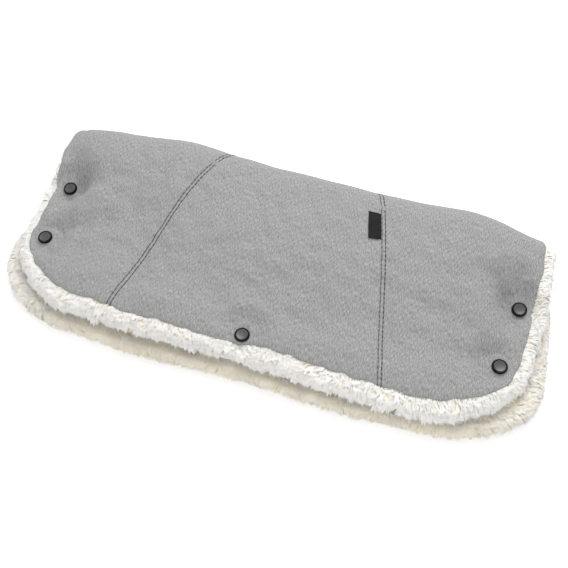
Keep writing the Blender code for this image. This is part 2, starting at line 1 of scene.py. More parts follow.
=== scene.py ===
# Looks of the stroller hand muff: grey mélange cloth over wadding, a cream plush lining
# that rolls out as a fluffy rim, topstitched seams, a bare woven label and press studs.
#
# X runs along the muff, the fold is at +Y and the open front edge at -Y. Sizes are in metres
# and angles in degrees. The cloth is laid out on a flat plan first: x along the muff, and q
# from the line above or below the fold's centre towards the front. q is negative round the
# fold itself. place() bends the plan into the folded shape.

import json

import bpy
import numpy as np
from mathutils import Matrix, Vector


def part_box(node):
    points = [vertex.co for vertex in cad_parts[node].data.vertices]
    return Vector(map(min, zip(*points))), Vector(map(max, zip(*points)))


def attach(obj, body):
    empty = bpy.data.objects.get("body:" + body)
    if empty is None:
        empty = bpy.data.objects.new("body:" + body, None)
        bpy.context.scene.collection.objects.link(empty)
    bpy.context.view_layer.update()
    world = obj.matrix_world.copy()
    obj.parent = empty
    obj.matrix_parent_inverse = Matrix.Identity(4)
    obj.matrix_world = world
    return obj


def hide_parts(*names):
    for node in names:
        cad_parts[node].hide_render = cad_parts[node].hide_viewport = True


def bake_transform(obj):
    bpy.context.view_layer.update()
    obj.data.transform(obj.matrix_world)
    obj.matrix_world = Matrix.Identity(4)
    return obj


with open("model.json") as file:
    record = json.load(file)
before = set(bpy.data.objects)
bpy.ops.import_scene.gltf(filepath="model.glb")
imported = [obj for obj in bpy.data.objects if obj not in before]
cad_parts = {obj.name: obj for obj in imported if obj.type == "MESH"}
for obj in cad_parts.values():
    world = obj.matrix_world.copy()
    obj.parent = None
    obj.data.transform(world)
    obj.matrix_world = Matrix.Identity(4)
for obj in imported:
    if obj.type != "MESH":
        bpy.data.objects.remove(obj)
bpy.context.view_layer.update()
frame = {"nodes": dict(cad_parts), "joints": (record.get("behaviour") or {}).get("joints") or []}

UPPER, LOWER = 1, -1
LEFT, RIGHT = -1, 1

# Outline of the cloth, as in the frame
HALF_WIDTH = 0.258
UPPER_REACH = 0.183
LOWER_HALF_WIDTH = HALF_WIDTH + 0.0085
LOWER_REACH = UPPER_REACH + 0.012
REACH = {UPPER: UPPER_REACH, LOWER: LOWER_REACH}
CORNER_LONG = 0.090
CORNER_DEEP = 0.068
SPREAD_REACH = 0.080
FOLD_RADIUS = 0.031
FOLD_END_RADIUS = 0.0255
TAPER_START = 0.130
TAPER_POWER = 2.0
RIM_REACH = 0.0145
FOLD_CENTRE_Y = (LOWER_REACH + RIM_REACH - FOLD_RADIUS) / 2
FOLD_RIM_REACH = {LEFT: 0.0015, RIGHT: 0.0100}
RIM_DROP = 0.0022
RIM_THICKNESS = 0.0168
RIM_BLEND = 0.045
LAYERS = 0.0126
FRONT_HEIGHT = 0.0348
SIDE_HEIGHT = 0.030
CROWN_POWER = 1.6
SIDE_FALL_SHARE = 0.6
# Panel seams on the upper cloth: x as a cubic in q, worked out from the photograph's two rows
SEAMS = {LEFT: (-0.0948, -0.3932, 1.5465, -3.9774), RIGHT: (0.0865, 0.3151, -0.5596, 1.5381)}
SEAM_GAP = 0.00003
LOWER_SEAM_AT_FRONT = 0.139

# Height of the upper face at a stud and the stud's distance from the front edge
STUD_SEATS = {"centre": (0.0315, 0.010), "front": (0.0275, 0.057), "rear": (0.0275, 0.1255)}
STUD_LIFT = 0.0028
# How far a stud draws the cloth, and its flat seat, on each side
SEAT_RADIUS = 0.0084
PINCHES = {UPPER: (0.029, SEAT_RADIUS), LOWER: (0.020, 0.0070)}

# The fold stands a little fuller than the frame towards its ends: by how much, and where
BULGES = ((0.0034, 0.185), (0.0028, -0.120))
BULGE_SPREAD = 0.045
BULGE_FADE = 0.090
# and rounds off at them: fall and length
END_ROUNDINGS = {LEFT: (0.0016, 0.010), RIGHT: (0.0008, 0.007)}

# Reach of a stud's hold on the edge, the waist and the simulated swell, and its flat seat
EDGE_HOLD = (0.0125, 0.0080)
WAIST_HOLD = (0.040, 0.0085)
SWELL_STUD_HOLD = (0.0125, 0.0090)

# How far the upper cloth's edge lies outside its plain outline, in millimetres, at places on
# the outline given as x and q in millimetres
EDGE_SHIFTS = [
    (-258, 0, 8.4), (-258, 20, 8.4), (-258, 50, 5.5), (-258, 64, 2.5), (-258, 76, 0),
    (-258, 91, -1.0), (-258, 105, -2.5), (-255, 134, -1.8), (-250, 145, -2.3), (-237, 159, -3.6),
    (-217, 172, -3.8), (-191, 180, -1.8), (-172, 183, -0.9), (-156, 183, -2.3), (-136, 183, -0.4),
    (-117, 183, 1.0), (-92, 183, 0.2), (-68, 183, -0.6), (-45, 183, 0.5), (-19, 183, 0),
    (4, 183, -4.5), (22, 183, -3.0), (40, 183, -4.2), (70, 183, -1.8), (105, 183, -1.2),
    (139, 183, 0), (160, 183, -0.6), (184, 182, -0.9), (217, 172, -3.6), (236, 160, -2.2),
    (250, 140, -2.8), (256, 126, -2.8), (258, 103, -1.5), (258, 85, 0), (258, 63, 0),
    (258, 48, -1.8), (258, 29, -0.6), (258, 0, -2.0),
]
# How far the plush rim reaches past the cloth, in millimetres, at places on the outline
RIM_REACHES = {
    UPPER: [
        (-258, 0, 1.5), (-258, 20, 2.2), (-258, 48, 3.8), (-258, 74, 9.0), (-258, 100, 10.5),
        (-256, 132, 9.5), (-248, 151, 10.5), (-240, 160, 13.0), (-217, 175, 15.0),
        (-182, 183, 16.5), (-128, 183, 15.5), (-56, 183, 15.0), (-14, 183, 13.5), (4, 183, 16.0),
        (51, 183, 18.0), (110, 183, 17.0), (162, 183, 17.0), (197, 178, 17.0), (232, 165, 13.5),
        (244, 153, 12.5), (257, 131, 12.0), (258, 107, 11.0), (258, 86, 11.0), (258, 47, 13.0),
        (258, 31, 11.5), (258, 0, 10.0),
    ],
    LOWER: [
        (-258, 0, 1.5), (-262, 60, 4.5), (-266, 105, 8.0), (-265, 140, 10.5), (-258, 160, 12.0),
        (-240, 178, 14.0), (-220, 187, 14.5), (-188, 195, 15.5), (-153, 195, 15.5),
        (-112, 195, 18.5), (-70, 195, 16.5), (-30, 195, 13.8), (10, 195, 11.3), (51, 195, 12.8),
        (90, 195, 13.3), (110, 195, 14.3), (129, 195, 12.3), (147, 195, 10.5), (184, 194, 8.8),
        (205, 190, 9.2), (225, 184, 10.5), (240, 176, 11.8), (253, 164, 14.2), (262, 148, 17.3),
        (266, 127, 17.0), (266, 108, 16.5), (265, 92, 15.0), (263, 69, 14.0), (260, 45, 14.0),
        (258, 0, 10.0),
    ],
}

# Columns of the cloth's grid near a seam and near its outer edge
NEAR_SEAM = np.array([0, 0.2, 0.5, 0.9, 1.3, 1.9, 2.6, 3.3, 3.8, 4.3, 4.8, 5.4, 6.3, 7.4]) * 0.001
NEAR_EDGE = np.array([0, 0.3, 0.7, 1.2, 1.8, 2.5, 3.3, 4.2, 5.2, 6.3, 7.5, 9.0]) * 0.001
# Distance between rows and columns
FINE, COARSE = 0.0022, 0.005

# Padded cloth
PAD = 0.0042
SHOULDER_DROP = 0.0030
SHOULDER_WIDTH = 0.0075
CLOTH_TUCK = 0.0015
EDGE_WAVER = 0.0009
# Soft waves of the padding: height, wavelength and seed
SOFT_WAVES = ((0.0008, 0.062, 3), (0.0004, 0.024, 5), (0.00012, 0.009, 8))
# How a seam draws the cloth in: height, distance to the right of the seam, and spread
SEAM_SHAPE = ((-0.0009, 0.002, 0.012), (0.00045, 0.0026, 0.0013), (-0.0004, 0, 0.00045))
# Puckers along the stitch rows and round the studs, and the ruffle along a seam
ROW_DEPTH = 0.0006
ROW_SPREAD = 0.0006
STUD_PUCKER = 0.0006
RUFFLE = 0.0003
CALM_MARGIN = 0.020
RELIEF_FLOOR = -0.0072

# Simulated padding of the upper flap
SWELL_LIMIT = 0.0016
SWELL_GRID_SIZE = (50, 111)
SWELL_FINER = 4
SWELL_FRAMES = 20
SWELL_HOLD = 0.18
STUFFING = {
    "quality": 6, "mass": 0.15, "tension_stiffness": 12, "compression_stiffness": 12,
    "shear_stiffness": 6, "bending_stiffness": 0.8, "use_pressure": True,
    "uniform_pressure_force": 4.0, "shrink_min": -0.02, "vertex_group_mass": "held",
    "pin_stiffness": 0.6,
}

# Two rows of topstitching to the right of each panel seam, through the seam allowance
STITCH_ROWS = (0.0008, 0.0044)
STITCH_PITCH = 0.0046
STITCH_LENGTH = 0.0045
STITCH_RADII = {LEFT: (0.00054, 0.00062), RIGHT: (0.00036, 0.00060)}
# A stitch's bead: place along its half length and share of its radius
STITCH_BEAD = np.array([[-1.0, 0.5], [-0.8, 0.9], [-0.3, 1.0], [0.3, 1.0], [0.8, 0.9], [1.0, 0.5]])
FLOOR_CLEARANCE = -0.0002

# Plush
PILE = 0.0056
PILE_SINK = 0.0026
RIM_NOSE = 0.0088
RIM_UNDER = 0.0004
RIM_AROUND = 0.043
RIM_SPANS = {"left": (0, 0.3), "front": (0.3, 0.7), "right": (0.7, 1)}
# Distance between tufts
RIM_SPACING = 0.00115
INNER_SPACING = 0.0026
FOLD_SPACING = 0.0024
STUD_CLEARANCE = 0.0072
TUFT_FLOOR = 0.0003
# A tuft's width, how far its shading follows the surface, and how far it stands up
RIM_TUFT = (0.00055, 0.92, 0.24)
INNER_TUFT = (0.0013, 0.90, 0.30)
FOLD_TUFT = (0.0010, 0.90, 0.30)
# Painted shade: the tone by which the pile inside the flaps and the fold is darkened
INNER_PAINTED_SHADE = -1.4
# Depths under the cloth's face between which the inner sheet of plush lies
INNER_PAD = (0.0088, 0.0095)
# Locks of pile gather towards their middle
LOCKS = 0.75
LOCK_SIZE = 0.0052
# Combing along the rim, its wavelength and seed, how far locks are drawn in, and fringe
COMBING = {UPPER: (0.25, 0.060, 91, 1.4, 1.0), LOWER: (0.9, 0.045, 92, 0.7, 0.3)}

LABEL_WIDTH = 0.0125
LABEL_LENGTH = 0.0285
LABEL_START = 0.0115

# Press studs: clearance, thicknesses, and profiles as radius and height over the cap's foot
GAP = 0.0003
CAP_RADIUS = 0.0075
FLANGE_RADIUS = 0.0055
SOCKET_RADIUS = 0.00625
SHAFT_RADIUS = 0.0015
BORE_RADIUS = 0.0019
WALL = 0.0010
SOCKET_HEIGHT = 0.0042
CAP_PROFILE = [
    (0, 0.00150), (0.0051, 0.00160), (0.0059, 0.0025), (0.0064, 0.0027), (0.0070, 0.0022),
    (CAP_RADIUS, 0.0011), (CAP_RADIUS, 0.0001), (0.0068, 0), (SHAFT_RADIUS, 0),
]
DISC_PROFILE = [
    (0, 0.00175), (0.0021, 0.00180), (0.0040, 0.00200), (0.0054, 0.00235), (0.0058, 0.0019),
    (0.0052, 0.0014), (0, 0.0014),
]

# Stage, and the camera at the photograph's angle: azimuth, elevation and roll in degrees
WORLD_LIGHT = 0.44
FLOOR_GLOW = 0.385
FLOOR_HALF = 3.0
FLOOR_LEVEL = -0.0004
LAMPS = [
    ("back_key", (0.0, 1.15, 1.37), 1.5, 33.5),
    ("front_fill", (-0.2, -1.5, 0.75), 1.2, 9.5),
    ("left_fill", (-1.3, -0.9, 0.8), 1.2, 2.0),
    ("right_fill", (1.3, -0.9, 0.8), 1.2, 7.0),
]
CAMERA_TURNS = (20.1, 55.6, -1.2)
CAMERA_DISTANCE = 0.831
CAMERA_TARGET = (0.011, 0.00525, 0.0)
FOCAL_PIXELS = 798.0
PICTURE_PIXELS = 568
SENSOR = 36
WHITE = (1, 1, 1, 1)

# The flaps, then the stretches of cloth round the fold: the side of the fold, first and last
# angle, the two bodies on either side of a stretch, and the strip whose nodes it replaces
FLAPS = {"lower": LOWER, "upper": UPPER}
FOLD_STRETCHES = {
    "fold_1": (LOWER, -90, -45, "lower_flap", "fold_strip_1", "fold_strip_1"),
    "fold_2": (LOWER, -45, 0, "fold_strip_1", "fold_strip_2", "fold_strip_2"),
    "fold_3": (UPPER, 0, 45, "fold_strip_2", "fold_strip_3", "fold_strip_2"),
    "fold_4": (UPPER, 45, 90, "fold_strip_3", "upper_flap", "fold_strip_3"),
}
STRETCHES = ["lower", *FOLD_STRETCHES, "upper"]
BLEND_DEPTH = 0.0180


def smooth(t):
    t = np.clip(t, 0, 1)
    return t * t * (3 - 2 * t)


def bell(t):
    return np.exp(-t * t)


def unit(vectors, least=0.0):
    """Vectors brought to length one. least keeps an empty one from a division by nothing."""
    return vectors / (np.linalg.norm(vectors, axis=-1, keepdims=True) + least)


def taper(x):
    """0 over the middle of the muff, 1 at its side seams."""
    return np.clip((np.abs(x) - TAPER_START) / (HALF_WIDTH - TAPER_START), 0, 1) ** TAPER_POWER


def bulge(x):
    """How much fuller than the frame the fold stands."""
    return sum(fuller * bell((x - at) / BULGE_SPREAD) for fuller, at in BULGES)


def end_rounding(x):
    """How much the fold's radius falls off at its very ends, as a quarter of an ellipse."""
    total = 0
    for hand, (fall, length) in END_ROUNDINGS.items():
        within = np.clip((hand * x - HALF_WIDTH + length) / length, 0, 1)
        total = total + fall * (1 - np.sqrt(1 - 0.97 * within**2))
    return total


def fold_radius(x):
    return FOLD_RADIUS + (FOLD_END_RADIUS - FOLD_RADIUS) * taper(x) + bulge(x) - end_rounding(x)


def fold_q(x, degrees):
    """q at an angle round the fold, where 90 degrees is its top and -90 its foot."""
    return -fold_radius(x) * np.radians(90 - np.abs(degrees))


def half_width(side, q):
    """Distance from mid length to the side seam. The lower flap spreads a little wider."""
    wide = HALF_WIDTH if side == UPPER else LOWER_HALF_WIDTH
    return HALF_WIDTH + (wide - HALF_WIDTH) * smooth(q / SPREAD_REACH)


def seam_at(side, hand, q):
    """x of the left or right panel seam: a cubic in q on top, and straight underneath."""
    c = SEAMS[hand]
    quarter = FOLD_RADIUS * np.pi / 2
    on_top = np.maximum(q, -quarter) if side == UPPER else -quarter
    x = c[0] + on_top * (c[1] + on_top * (c[2] + on_top * c[3]))
    if side == UPPER:
        return x
    return x + (hand * LOWER_SEAM_AT_FRONT - x) * ((q + quarter) / (REACH[side] + quarter))


def read_studs():
    """Each press stud's cap centre, lean and seats, read from the frame's own nodes."""
    hinges = np.array([joint["pos_m"] for joint in frame["joints"]]).mean(axis=0)
    studs = []
    for node in sorted(frame["nodes"]):
        if not node.startswith("cap_"):
            continue
        name = node[len("cap_"):]
        hand, row = name.split("_")
        low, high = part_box(node)
        height, setback = STUD_SEATS["centre" if hand == "centre" else row]
        q = UPPER_REACH - setback
        slope = (hinges[2] - height / 2) / (hinges[1] - (FOLD_CENTRE_Y - q))
        studs.append({"name": name, "x": (low[0] + high[0]) / 2, UPPER: q, "height": height,
                      LOWER: q - slope * (height - STUD_LIFT), "slope": slope})
    return studs


STUDS = read_studs()


def pull_of(stud, side, x, q, radius, flat_radius):
    """1 in a stud's flat seat, falling to 0 at radius from it."""
    away = np.hypot(x - stud["x"], q - stud[side])
    return 1 - smooth((away - flat_radius) / (radius - flat_radius))


def crown(x, q):
    """Height of the closed muff's upper face, before the studs pinch it."""
    share = np.clip(q / UPPER_REACH, 0, 1)
    middle = 2 * FOLD_RADIUS - (2 * FOLD_RADIUS - FRONT_HEIGHT) * share**CROWN_POWER
    fall = smooth(share / SIDE_FALL_SHARE)
    side = 2 * FOLD_END_RADIUS - (2 * FOLD_END_RADIUS - SIDE_HEIGHT) * fall
    fuller = 2 * (bulge(x) - end_rounding(x)) * (1 - smooth(q / BULGE_FADE))
    return middle + (side - middle) * taper(x) + fuller


def outer_face(side, x, q):
    """Height of a flap's outer face, drawn to each stud's leaning seat plane."""
    height = crown(x, q) if side == UPPER else 0 * x
    for stud in STUDS:
        level = stud["height"] if side == UPPER else STUD_LIFT
        plane = level - stud["slope"] * (q - stud[side])
        height = height + (plane - height) * pull_of(stud, side, x, q, *PINCHES[side])
    return np.maximum(height, 0)


def lean(side, x, q):
    """Tangent of the lean of the line along which depth is measured, nonzero near a stud."""
    return sum(stud["slope"] * pull_of(stud, side, x, q, *PINCHES[UPPER]) for stud in STUDS)


def bearing(x, q):
    """Angle at which an outline point is seen from near the fold: grows from left to right."""
    return np.arctan2(x, q + 0.030)


def along_outline(table, x, q):
    """Interpolates a table of outline places and values in millimetres, by bearing."""
    places = np.array(table, float) / 1000
    angles = bearing(places[:, 0], places[:, 1])
    order = np.argsort(angles)
    return np.interp(bearing(x, q), angles[order], places[order, 2])


def in_corner(side, x, q):
    """How far a point is into its flap's rounded corner, across and deep, in corner lengths."""
    across = (np.abs(x) - (half_width(side, q) - CORNER_LONG)) / CORNER_LONG
    return across, (q - (REACH[side] - CORNER_DEEP)) / CORNER_DEEP


def edge_shift(side, x, q):
    """Plan shift that draws the upper cloth's edge in or out, with a small waver.

    It fades inwards, at the studs, and round the lower half of the fold."""
    across, deep = (np.maximum(share, 0) for share in in_corner(side, x, q))
    on_top = np.maximum(q, 0) if side == UPPER else 0 * q
    amount = along_outline(EDGE_SHIFTS, x, on_top) + EDGE_WAVER * ripple(x, on_top, 0.021, 61)
    amount = amount * smooth(np.hypot(across, deep) * 1.1)
    if side == LOWER:
        amount = amount * smooth(-q / (fold_radius(x) * np.pi / 2))
    for stud in STUDS:
        amount = amount * (1 - pull_of(stud, side, x, q, *EDGE_HOLD))
    across, deep = across / CORNER_LONG, deep / CORNER_DEEP
    length = np.hypot(across, deep) + 1e-9
    return np.sign(x) * across / length * amount, deep / length * amount


def place(side, x, q, depth):
    """Bends plan points into the folded shape, depth under the outer face."""
    x, q, depth = np.broadcast_arrays(np.asarray(x, float), q, depth)
    shift_x, shift_q = edge_shift(side, x, q)
    x, q = x + shift_x, q + shift_q
    radius = fold_radius(x)
    angle = np.pi / 2 + np.minimum(q, 0) / radius
    y = FOLD_CENTRE_Y - np.maximum(q, 0) + (radius - depth) * np.cos(angle)
    y = y + side * lean(side, x, q) * depth
    on_arc = radius + side * (radius - depth) * np.sin(angle)
    on_flap = outer_face(side, x, q) - side * depth
    return np.stack([x, y, np.where(q < 0, on_arc, on_flap)], axis=-1)


def inset_of(side, x, q):
    """Distance in from the cloth's outline: straight sides and front, elliptic corners."""
    reach = REACH[side]
    straight = np.minimum(half_width(side, q) - np.abs(x), np.where(q > 0, reach - q, reach))
    across, deep = in_corner(side, x, q)
    radial = np.hypot(across, deep) + 1e-9
    steepness = np.hypot(across / CORNER_LONG, deep / CORNER_DEEP) / radial
    rounded_inset = (1 - radial) / np.maximum(steepness, 1e-9)
    return np.where((across > 0) & (deep > 0), rounded_inset, straight)


def thickness(side, x, q, inset):
    """Whole thickness of a flap: its layers, and more towards the plush rim."""
    rim = LAYERS + (RIM_THICKNESS - LAYERS) * smooth(q / RIM_BLEND)
    full = LAYERS + (rim - LAYERS) * (1 - smooth(inset / RIM_BLEND))
    if side == UPPER:
        full = full + waist(x, q, inset)
    room = (outer_face(UPPER, x, q) - outer_face(LOWER, x, q)) / 2
    return np.where(q > 0, np.minimum(full, room), full)


def ripple(x, q, wavelength, seed, count=9):
    """A soft random field: waves of one length in random directions, about -1 to 1."""
    random = np.random.default_rng(seed)
    total = np.zeros(np.broadcast(x, q).shape)
    for heading, phase, stretch in random.random((count, 3)):
        k = 2 * np.pi / (wavelength * (0.7 + 0.6 * stretch))
        along = x * np.cos(heading * np.pi * 2) + q * np.sin(heading * np.pi * 2)
        total = total + np.sin(k * along + phase * 6.28)
    return total / np.sqrt(count / 2) / 1.6


# Where the photograph shows the cloth drawn into soft creases: ends on the upper flap's plan
# as x and q, then half width and depth of the crease
CREASES = [
    ((-0.243, 0.056), (-0.196, 0.047), 0.012, 0.0042),
    ((-0.238, 0.120), (-0.182, 0.099), 0.014, 0.0056),
    ((0.240, 0.056), (0.203, 0.044), 0.013, 0.0044),
    ((0.238, 0.122), (0.195, 0.129), 0.013, 0.0056),
    ((0.112, 0.090), (0.198, 0.104), 0.010, 0.0020),
    ((-0.040, 0.150), (0.002, 0.166), 0.012, 0.0018),
    ((0.045, 0.150), (0.002, 0.166), 0.012, 0.0018),
]
# Fuller and hollower places: centre on the plan, radius and height
SWELLS = [
    (-0.173, 0.146, 0.028, 0.0034),
    (-0.090, 0.166, 0.026, 0.0030),
    (-0.200, 0.010, 0.030, 0.0018),
    (-0.146, 0.088, 0.036, -0.0050),
    (-0.212, 0.078, 0.018, 0.0016),
    (0.212, 0.080, 0.018, 0.0016),
    (0.212, 0.158, 0.024, 0.0026),
    (0.065, 0.170, 0.030, 0.0016),
    (0.140, 0.168, 0.032, 0.0022),
]
# The upper flap sinks between the full fold and its padded front
WAIST_AT = 0.132
WAIST_SPREAD = 0.037
WAIST = 0.0056
WAIST_MARGIN = 0.036
# Round a stud it sinks widely, by a share of the drop to the stud
HOLLOW_RADIUS = 0.048
HOLLOW_SHARE = 0.8
HOLLOW_MARGIN = 0.020
HOLLOW_LIMIT = 0.016


def crease(x, q, start, end, width):
    """1 at the line's start and half at its end, falling away to its sides and beyond its ends."""
    start, end = np.array(start), np.array(end)
    along = end - start
    share = ((x - start[0]) * along[0] + (q - start[1]) * along[1]) / (along @ along)
    share = np.clip(share, 0, 1)
    away = np.hypot(x - start[0] - share * along[0], q - start[1] - share * along[1])
    return bell(away / width) * (1 - 0.5 * share)


def waist(x, q, inset):
    """How far the whole upper flap sinks: between its fold and front, and widely round a stud."""
    depth = WAIST * bell((q - WAIST_AT) / WAIST_SPREAD) * smooth(inset / WAIST_MARGIN)
    for stud in STUDS:
        depth = depth * (1 - pull_of(stud, UPPER, x, q, *WAIST_HOLD))
    margin = smooth(inset / HOLLOW_MARGIN), smooth(q / HOLLOW_MARGIN)
    for stud in STUDS:
        wide = pull_of(stud, UPPER, x, q, HOLLOW_RADIUS, SEAT_RADIUS)
        wide = wide - pull_of(stud, UPPER, x, q, *PINCHES[UPPER])
        drop = crown(x, q) - stud["height"] + stud["slope"] * (q - stud[UPPER])
        drop = np.clip(drop, 0, HOLLOW_LIMIT)
        depth = np.maximum(depth, HOLLOW_SHARE * drop * wide * margin[0] * margin[1])
    return depth


def relief(side, x, q):
    """Height of the padded cloth over the plain surface, in metres. Outward is positive.

    A rounded shoulder at the edge, soft waves and the drawn-in seams. The upper flap also has
    puckers round its studs, creases, swells, the simulated swell and the waist."""
    inset = inset_of(side, x, q)
    within = np.clip(1 - inset / SHOULDER_WIDTH, 0, 1)
    height = -SHOULDER_DROP * (1 - np.sqrt(1 - within**2 * 0.98))
    calm = smooth(inset / CALM_MARGIN) * (0.35 + 0.65 * smooth((q + 0.030) / 0.040))
    soft = sum(tall * ripple(x, q, wavelength, seed) for tall, wavelength, seed in SOFT_WAVES)
    pucker = 0.8 + 0.2 * np.cos(2 * np.pi * q / STITCH_PITCH)
    for hand in (LEFT, RIGHT):
        past = x - seam_at(side, hand, q)
        for tall, at, spread in SEAM_SHAPE:
            height = height + tall * bell((past - at) / spread)
        for row in STITCH_ROWS:
            height = height - ROW_DEPTH * bell((past - row) / ROW_SPREAD) * pucker
        height = height + RUFFLE * bell((past - 0.002) / 0.007) * ripple(x * 0.3, q, 0.011, 12)
    if side == LOWER:
        return height + soft * calm
    for stud in STUDS:
        across, deep = x - stud["x"], q - stud[UPPER]
        away, turn = np.hypot(across, deep), np.arctan2(deep, across)
        ring = smooth((away - 0.009) / 0.008) * (1 - smooth((away - 0.016) / 0.030))
        phase = stud["x"] * 40 + stud[UPPER] * 90
        calm = calm * smooth((away - 0.0085) / 0.008)
        wave = np.cos(7 * turn + phase) + 0.6 * np.cos(4 * turn - 2 * phase)
        height = height + STUD_PUCKER * ring * wave
    for start, end, width, deep in CREASES:
        height = height - deep * crease(x, q, start, end, width) * calm
    for centre_x, centre_q, radius, tall in SWELLS:
        height = height + tall * bell(np.hypot(x - centre_x, q - centre_q) / radius) * calm
    height = height + swell_at(x, q) * calm
    return np.maximum(height + soft * calm, RELIEF_FLOOR) - waist(x, q, inset)


# Heights that the simulated padding adds, on a grid over the upper flap and fold, then q at the
# grid's first and last row. Empty until the simulation has run
SWELL_GRID = []


def swell_at(x, q):
    """Reads the simulated heights by share of the way across and by q, blending neighbours."""
    if not SWELL_GRID:
        return 0.0
    heights, first, last = SWELL_GRID
    row_count, column_count = heights.shape
    column = (np.clip(x / outline_x(UPPER, q), -1, 1) + 1) / 2 * (column_count - 1)
    row = np.clip((q - first) / (last - first), 0, 1) * (row_count - 1)
    left = np.minimum(column.astype(int), column_count - 2)
    below = np.minimum(row.astype(int), row_count - 2)
    across, on = column - left, row - below
    near = heights[below, left] * (1 - across) + heights[below, left + 1] * across
    far = heights[below + 1, left] * (1 - across) + heights[below + 1, left + 1] * across
    return near * (1 - on) + far * on


def finer(values, times):
    """A grid of values, each step split and softened, along both directions."""
    kernel = np.concatenate([np.arange(1, times + 1), np.arange(times - 1, 0, -1)]) / times**2
    for _ in range(2):
        count = len(values)
        wide = np.linspace(0, count - 1, (count - 1) * times + 1)
        low = np.minimum(wide.astype(int), count - 2)
        share = (wide - low)[:, None]
        values = values[low] * (1 - share) + values[low + 1] * share
        edged = np.pad(values, ((times - 1, times - 1), (0, 0)), mode="edge")
        values = sum(weight * edged[k:k + len(values)] for k, weight in enumerate(kernel))
        values = values.T
    return values


def swell_padding(material):
    """Cloth simulation of the stuffed upper flap: pressure from inside lifts the cloth between
    its edge, seams and studs, and cloth cut a little full wrinkles there. It gives heights."""
    rows = np.linspace(-FOLD_END_RADIUS * np.pi / 2, UPPER_REACH, SWELL_GRID_SIZE[0])
    x = outline_x(UPPER, rows)[:, None] * np.linspace(-1, 1, SWELL_GRID_SIZE[1])
    q = np.broadcast_to(rows[:, None], x.shape)
    top = place(UPPER, x, q, -relief(UPPER, x, q))
    points = np.concatenate([top.reshape(-1, 3), place(UPPER, x, q, 0.010).reshape(-1, 3)])
    pad = mesh_piece("swelling_pad", points, facing_out(points, [slab_faces(*x.shape)]), material)
    held = 1 - smooth((inset_of(UPPER, x, q) - 0.006) / 0.012)
    for stud in STUDS:
        held = np.maximum(held, pull_of(stud, UPPER, x, q, *SWELL_STUD_HOLD))
    for hand in (LEFT, RIGHT):
        held = np.maximum(held, bell((x - seam_at(UPPER, hand, q) - 0.002) / 0.0045))
    held = np.maximum(held, 1 - smooth((q - rows[0]) / 0.020))
    held = np.round(np.concatenate([np.maximum(held, SWELL_HOLD).ravel(), np.ones(x.size)]), 2)
    group = pad.vertex_groups.new(name="held")
    for level in np.unique(held):
        group.add(np.flatnonzero(held == level).tolist(), float(level), "REPLACE")
    settings = pad.modifiers.new("stuffing", "CLOTH").settings
    for key, value in STUFFING.items():
        setattr(settings, key, value)
    settings.effector_weights.gravity = 0
    for number in range(1, SWELL_FRAMES + 1):
        bpy.context.scene.frame_set(number)
    stuffed = pad.evaluated_get(bpy.context.evaluated_depsgraph_get())
    moved = np.empty(len(points) * 3, np.float32)
    stuffed.data.vertices.foreach_get("co", moved)
    moved = moved.reshape(-1, 3)[:x.size].reshape(top.shape) - top
    bpy.data.objects.remove(pad)
    bpy.context.scene.frame_set(1)
    up = frame_at(UPPER, x, q, 0.0, 0, 1)[2]
    heights = np.sum(moved * up, -1) * smooth((q + 0.022) / 0.035)
    heights = SWELL_LIMIT * np.tanh(heights / SWELL_LIMIT)
    SWELL_GRID[:] = [finer(heights, SWELL_FINER), rows[0], rows[-1]]


def lower_fade(side, q):
    """How much of the relief shows: all on top, none where the muff lies on the floor."""
    return 1.0 if side == UPPER else smooth(-q / (FOLD_RADIUS * np.pi / 2) * 1.6 - 0.3)


def cloth_point(side, x, q, depth=0.0):
    """A point of the padded cloth, depth under its face."""
    return place(side, x, q, depth - relief(side, x, q) * lower_fade(side, q))


def mesh_piece(name, points, faces, material, sharp=None):
    """An object from an array of points and a list of arrays of faces, turned to face outwards."""
    mesh = bpy.data.meshes.new(name)
    corners = np.concatenate([f.ravel() for f in faces]).astype(np.int32)
    sizes = np.concatenate([np.full(len(f), f.shape[1]) for f in faces])
    starts = np.concatenate([[0], np.cumsum(sizes)[:-1]]).astype(np.int32)
    mesh.vertices.add(len(points))
    mesh.vertices.foreach_set("co", points.astype(np.float32).ravel())
    mesh.loops.add(len(corners))
    mesh.loops.foreach_set("vertex_index", corners)
    mesh.polygons.add(len(sizes))
    mesh.polygons.foreach_set("loop_start", starts)
    mesh.update(calc_edges=True)
    mesh.shade_smooth()
    if sharp is not None:
        mesh.set_sharp_from_angle(angle=np.radians(sharp))
    mesh.materials.append(material)
    piece = bpy.data.objects.new(name, mesh)
    bpy.context.scene.collection.objects.link(piece)
    return piece


def facing_out(points, faces):
    """The faces, turned round if the closed mesh they make is inside out."""
    volume = 0.0
    for group in faces:
        for k in range(1, group.shape[1] - 1):
            a, b, c = points[group[:, 0]], points[group[:, k]], points[group[:, k + 1]]
            volume += np.einsum("ij,ij->", a, np.cross(b, c))
    return faces if volume > 0 else [group[:, ::-1] for group in faces]


def slab_faces(rows, columns):
    """Quads of a closed sheet: a grid on top, one below, and walls round the edge."""
    count = rows * columns
    index = np.arange(count).reshape(rows, columns)
    top = np.stack([index[:-1, :-1], index[:-1, 1:], index[1:, 1:], index[1:, :-1]], -1).reshape(-1, 4)
    edge = np.concatenate([index[0, :-1], index[:-1, -1], index[-1, :0:-1], index[:0:-1, 0]])
    following = np.roll(edge, -1)
    walls = np.stack([following, edge, edge + count, following + count], -1)
    return np.concatenate([top, top[:, ::-1] + count, walls])


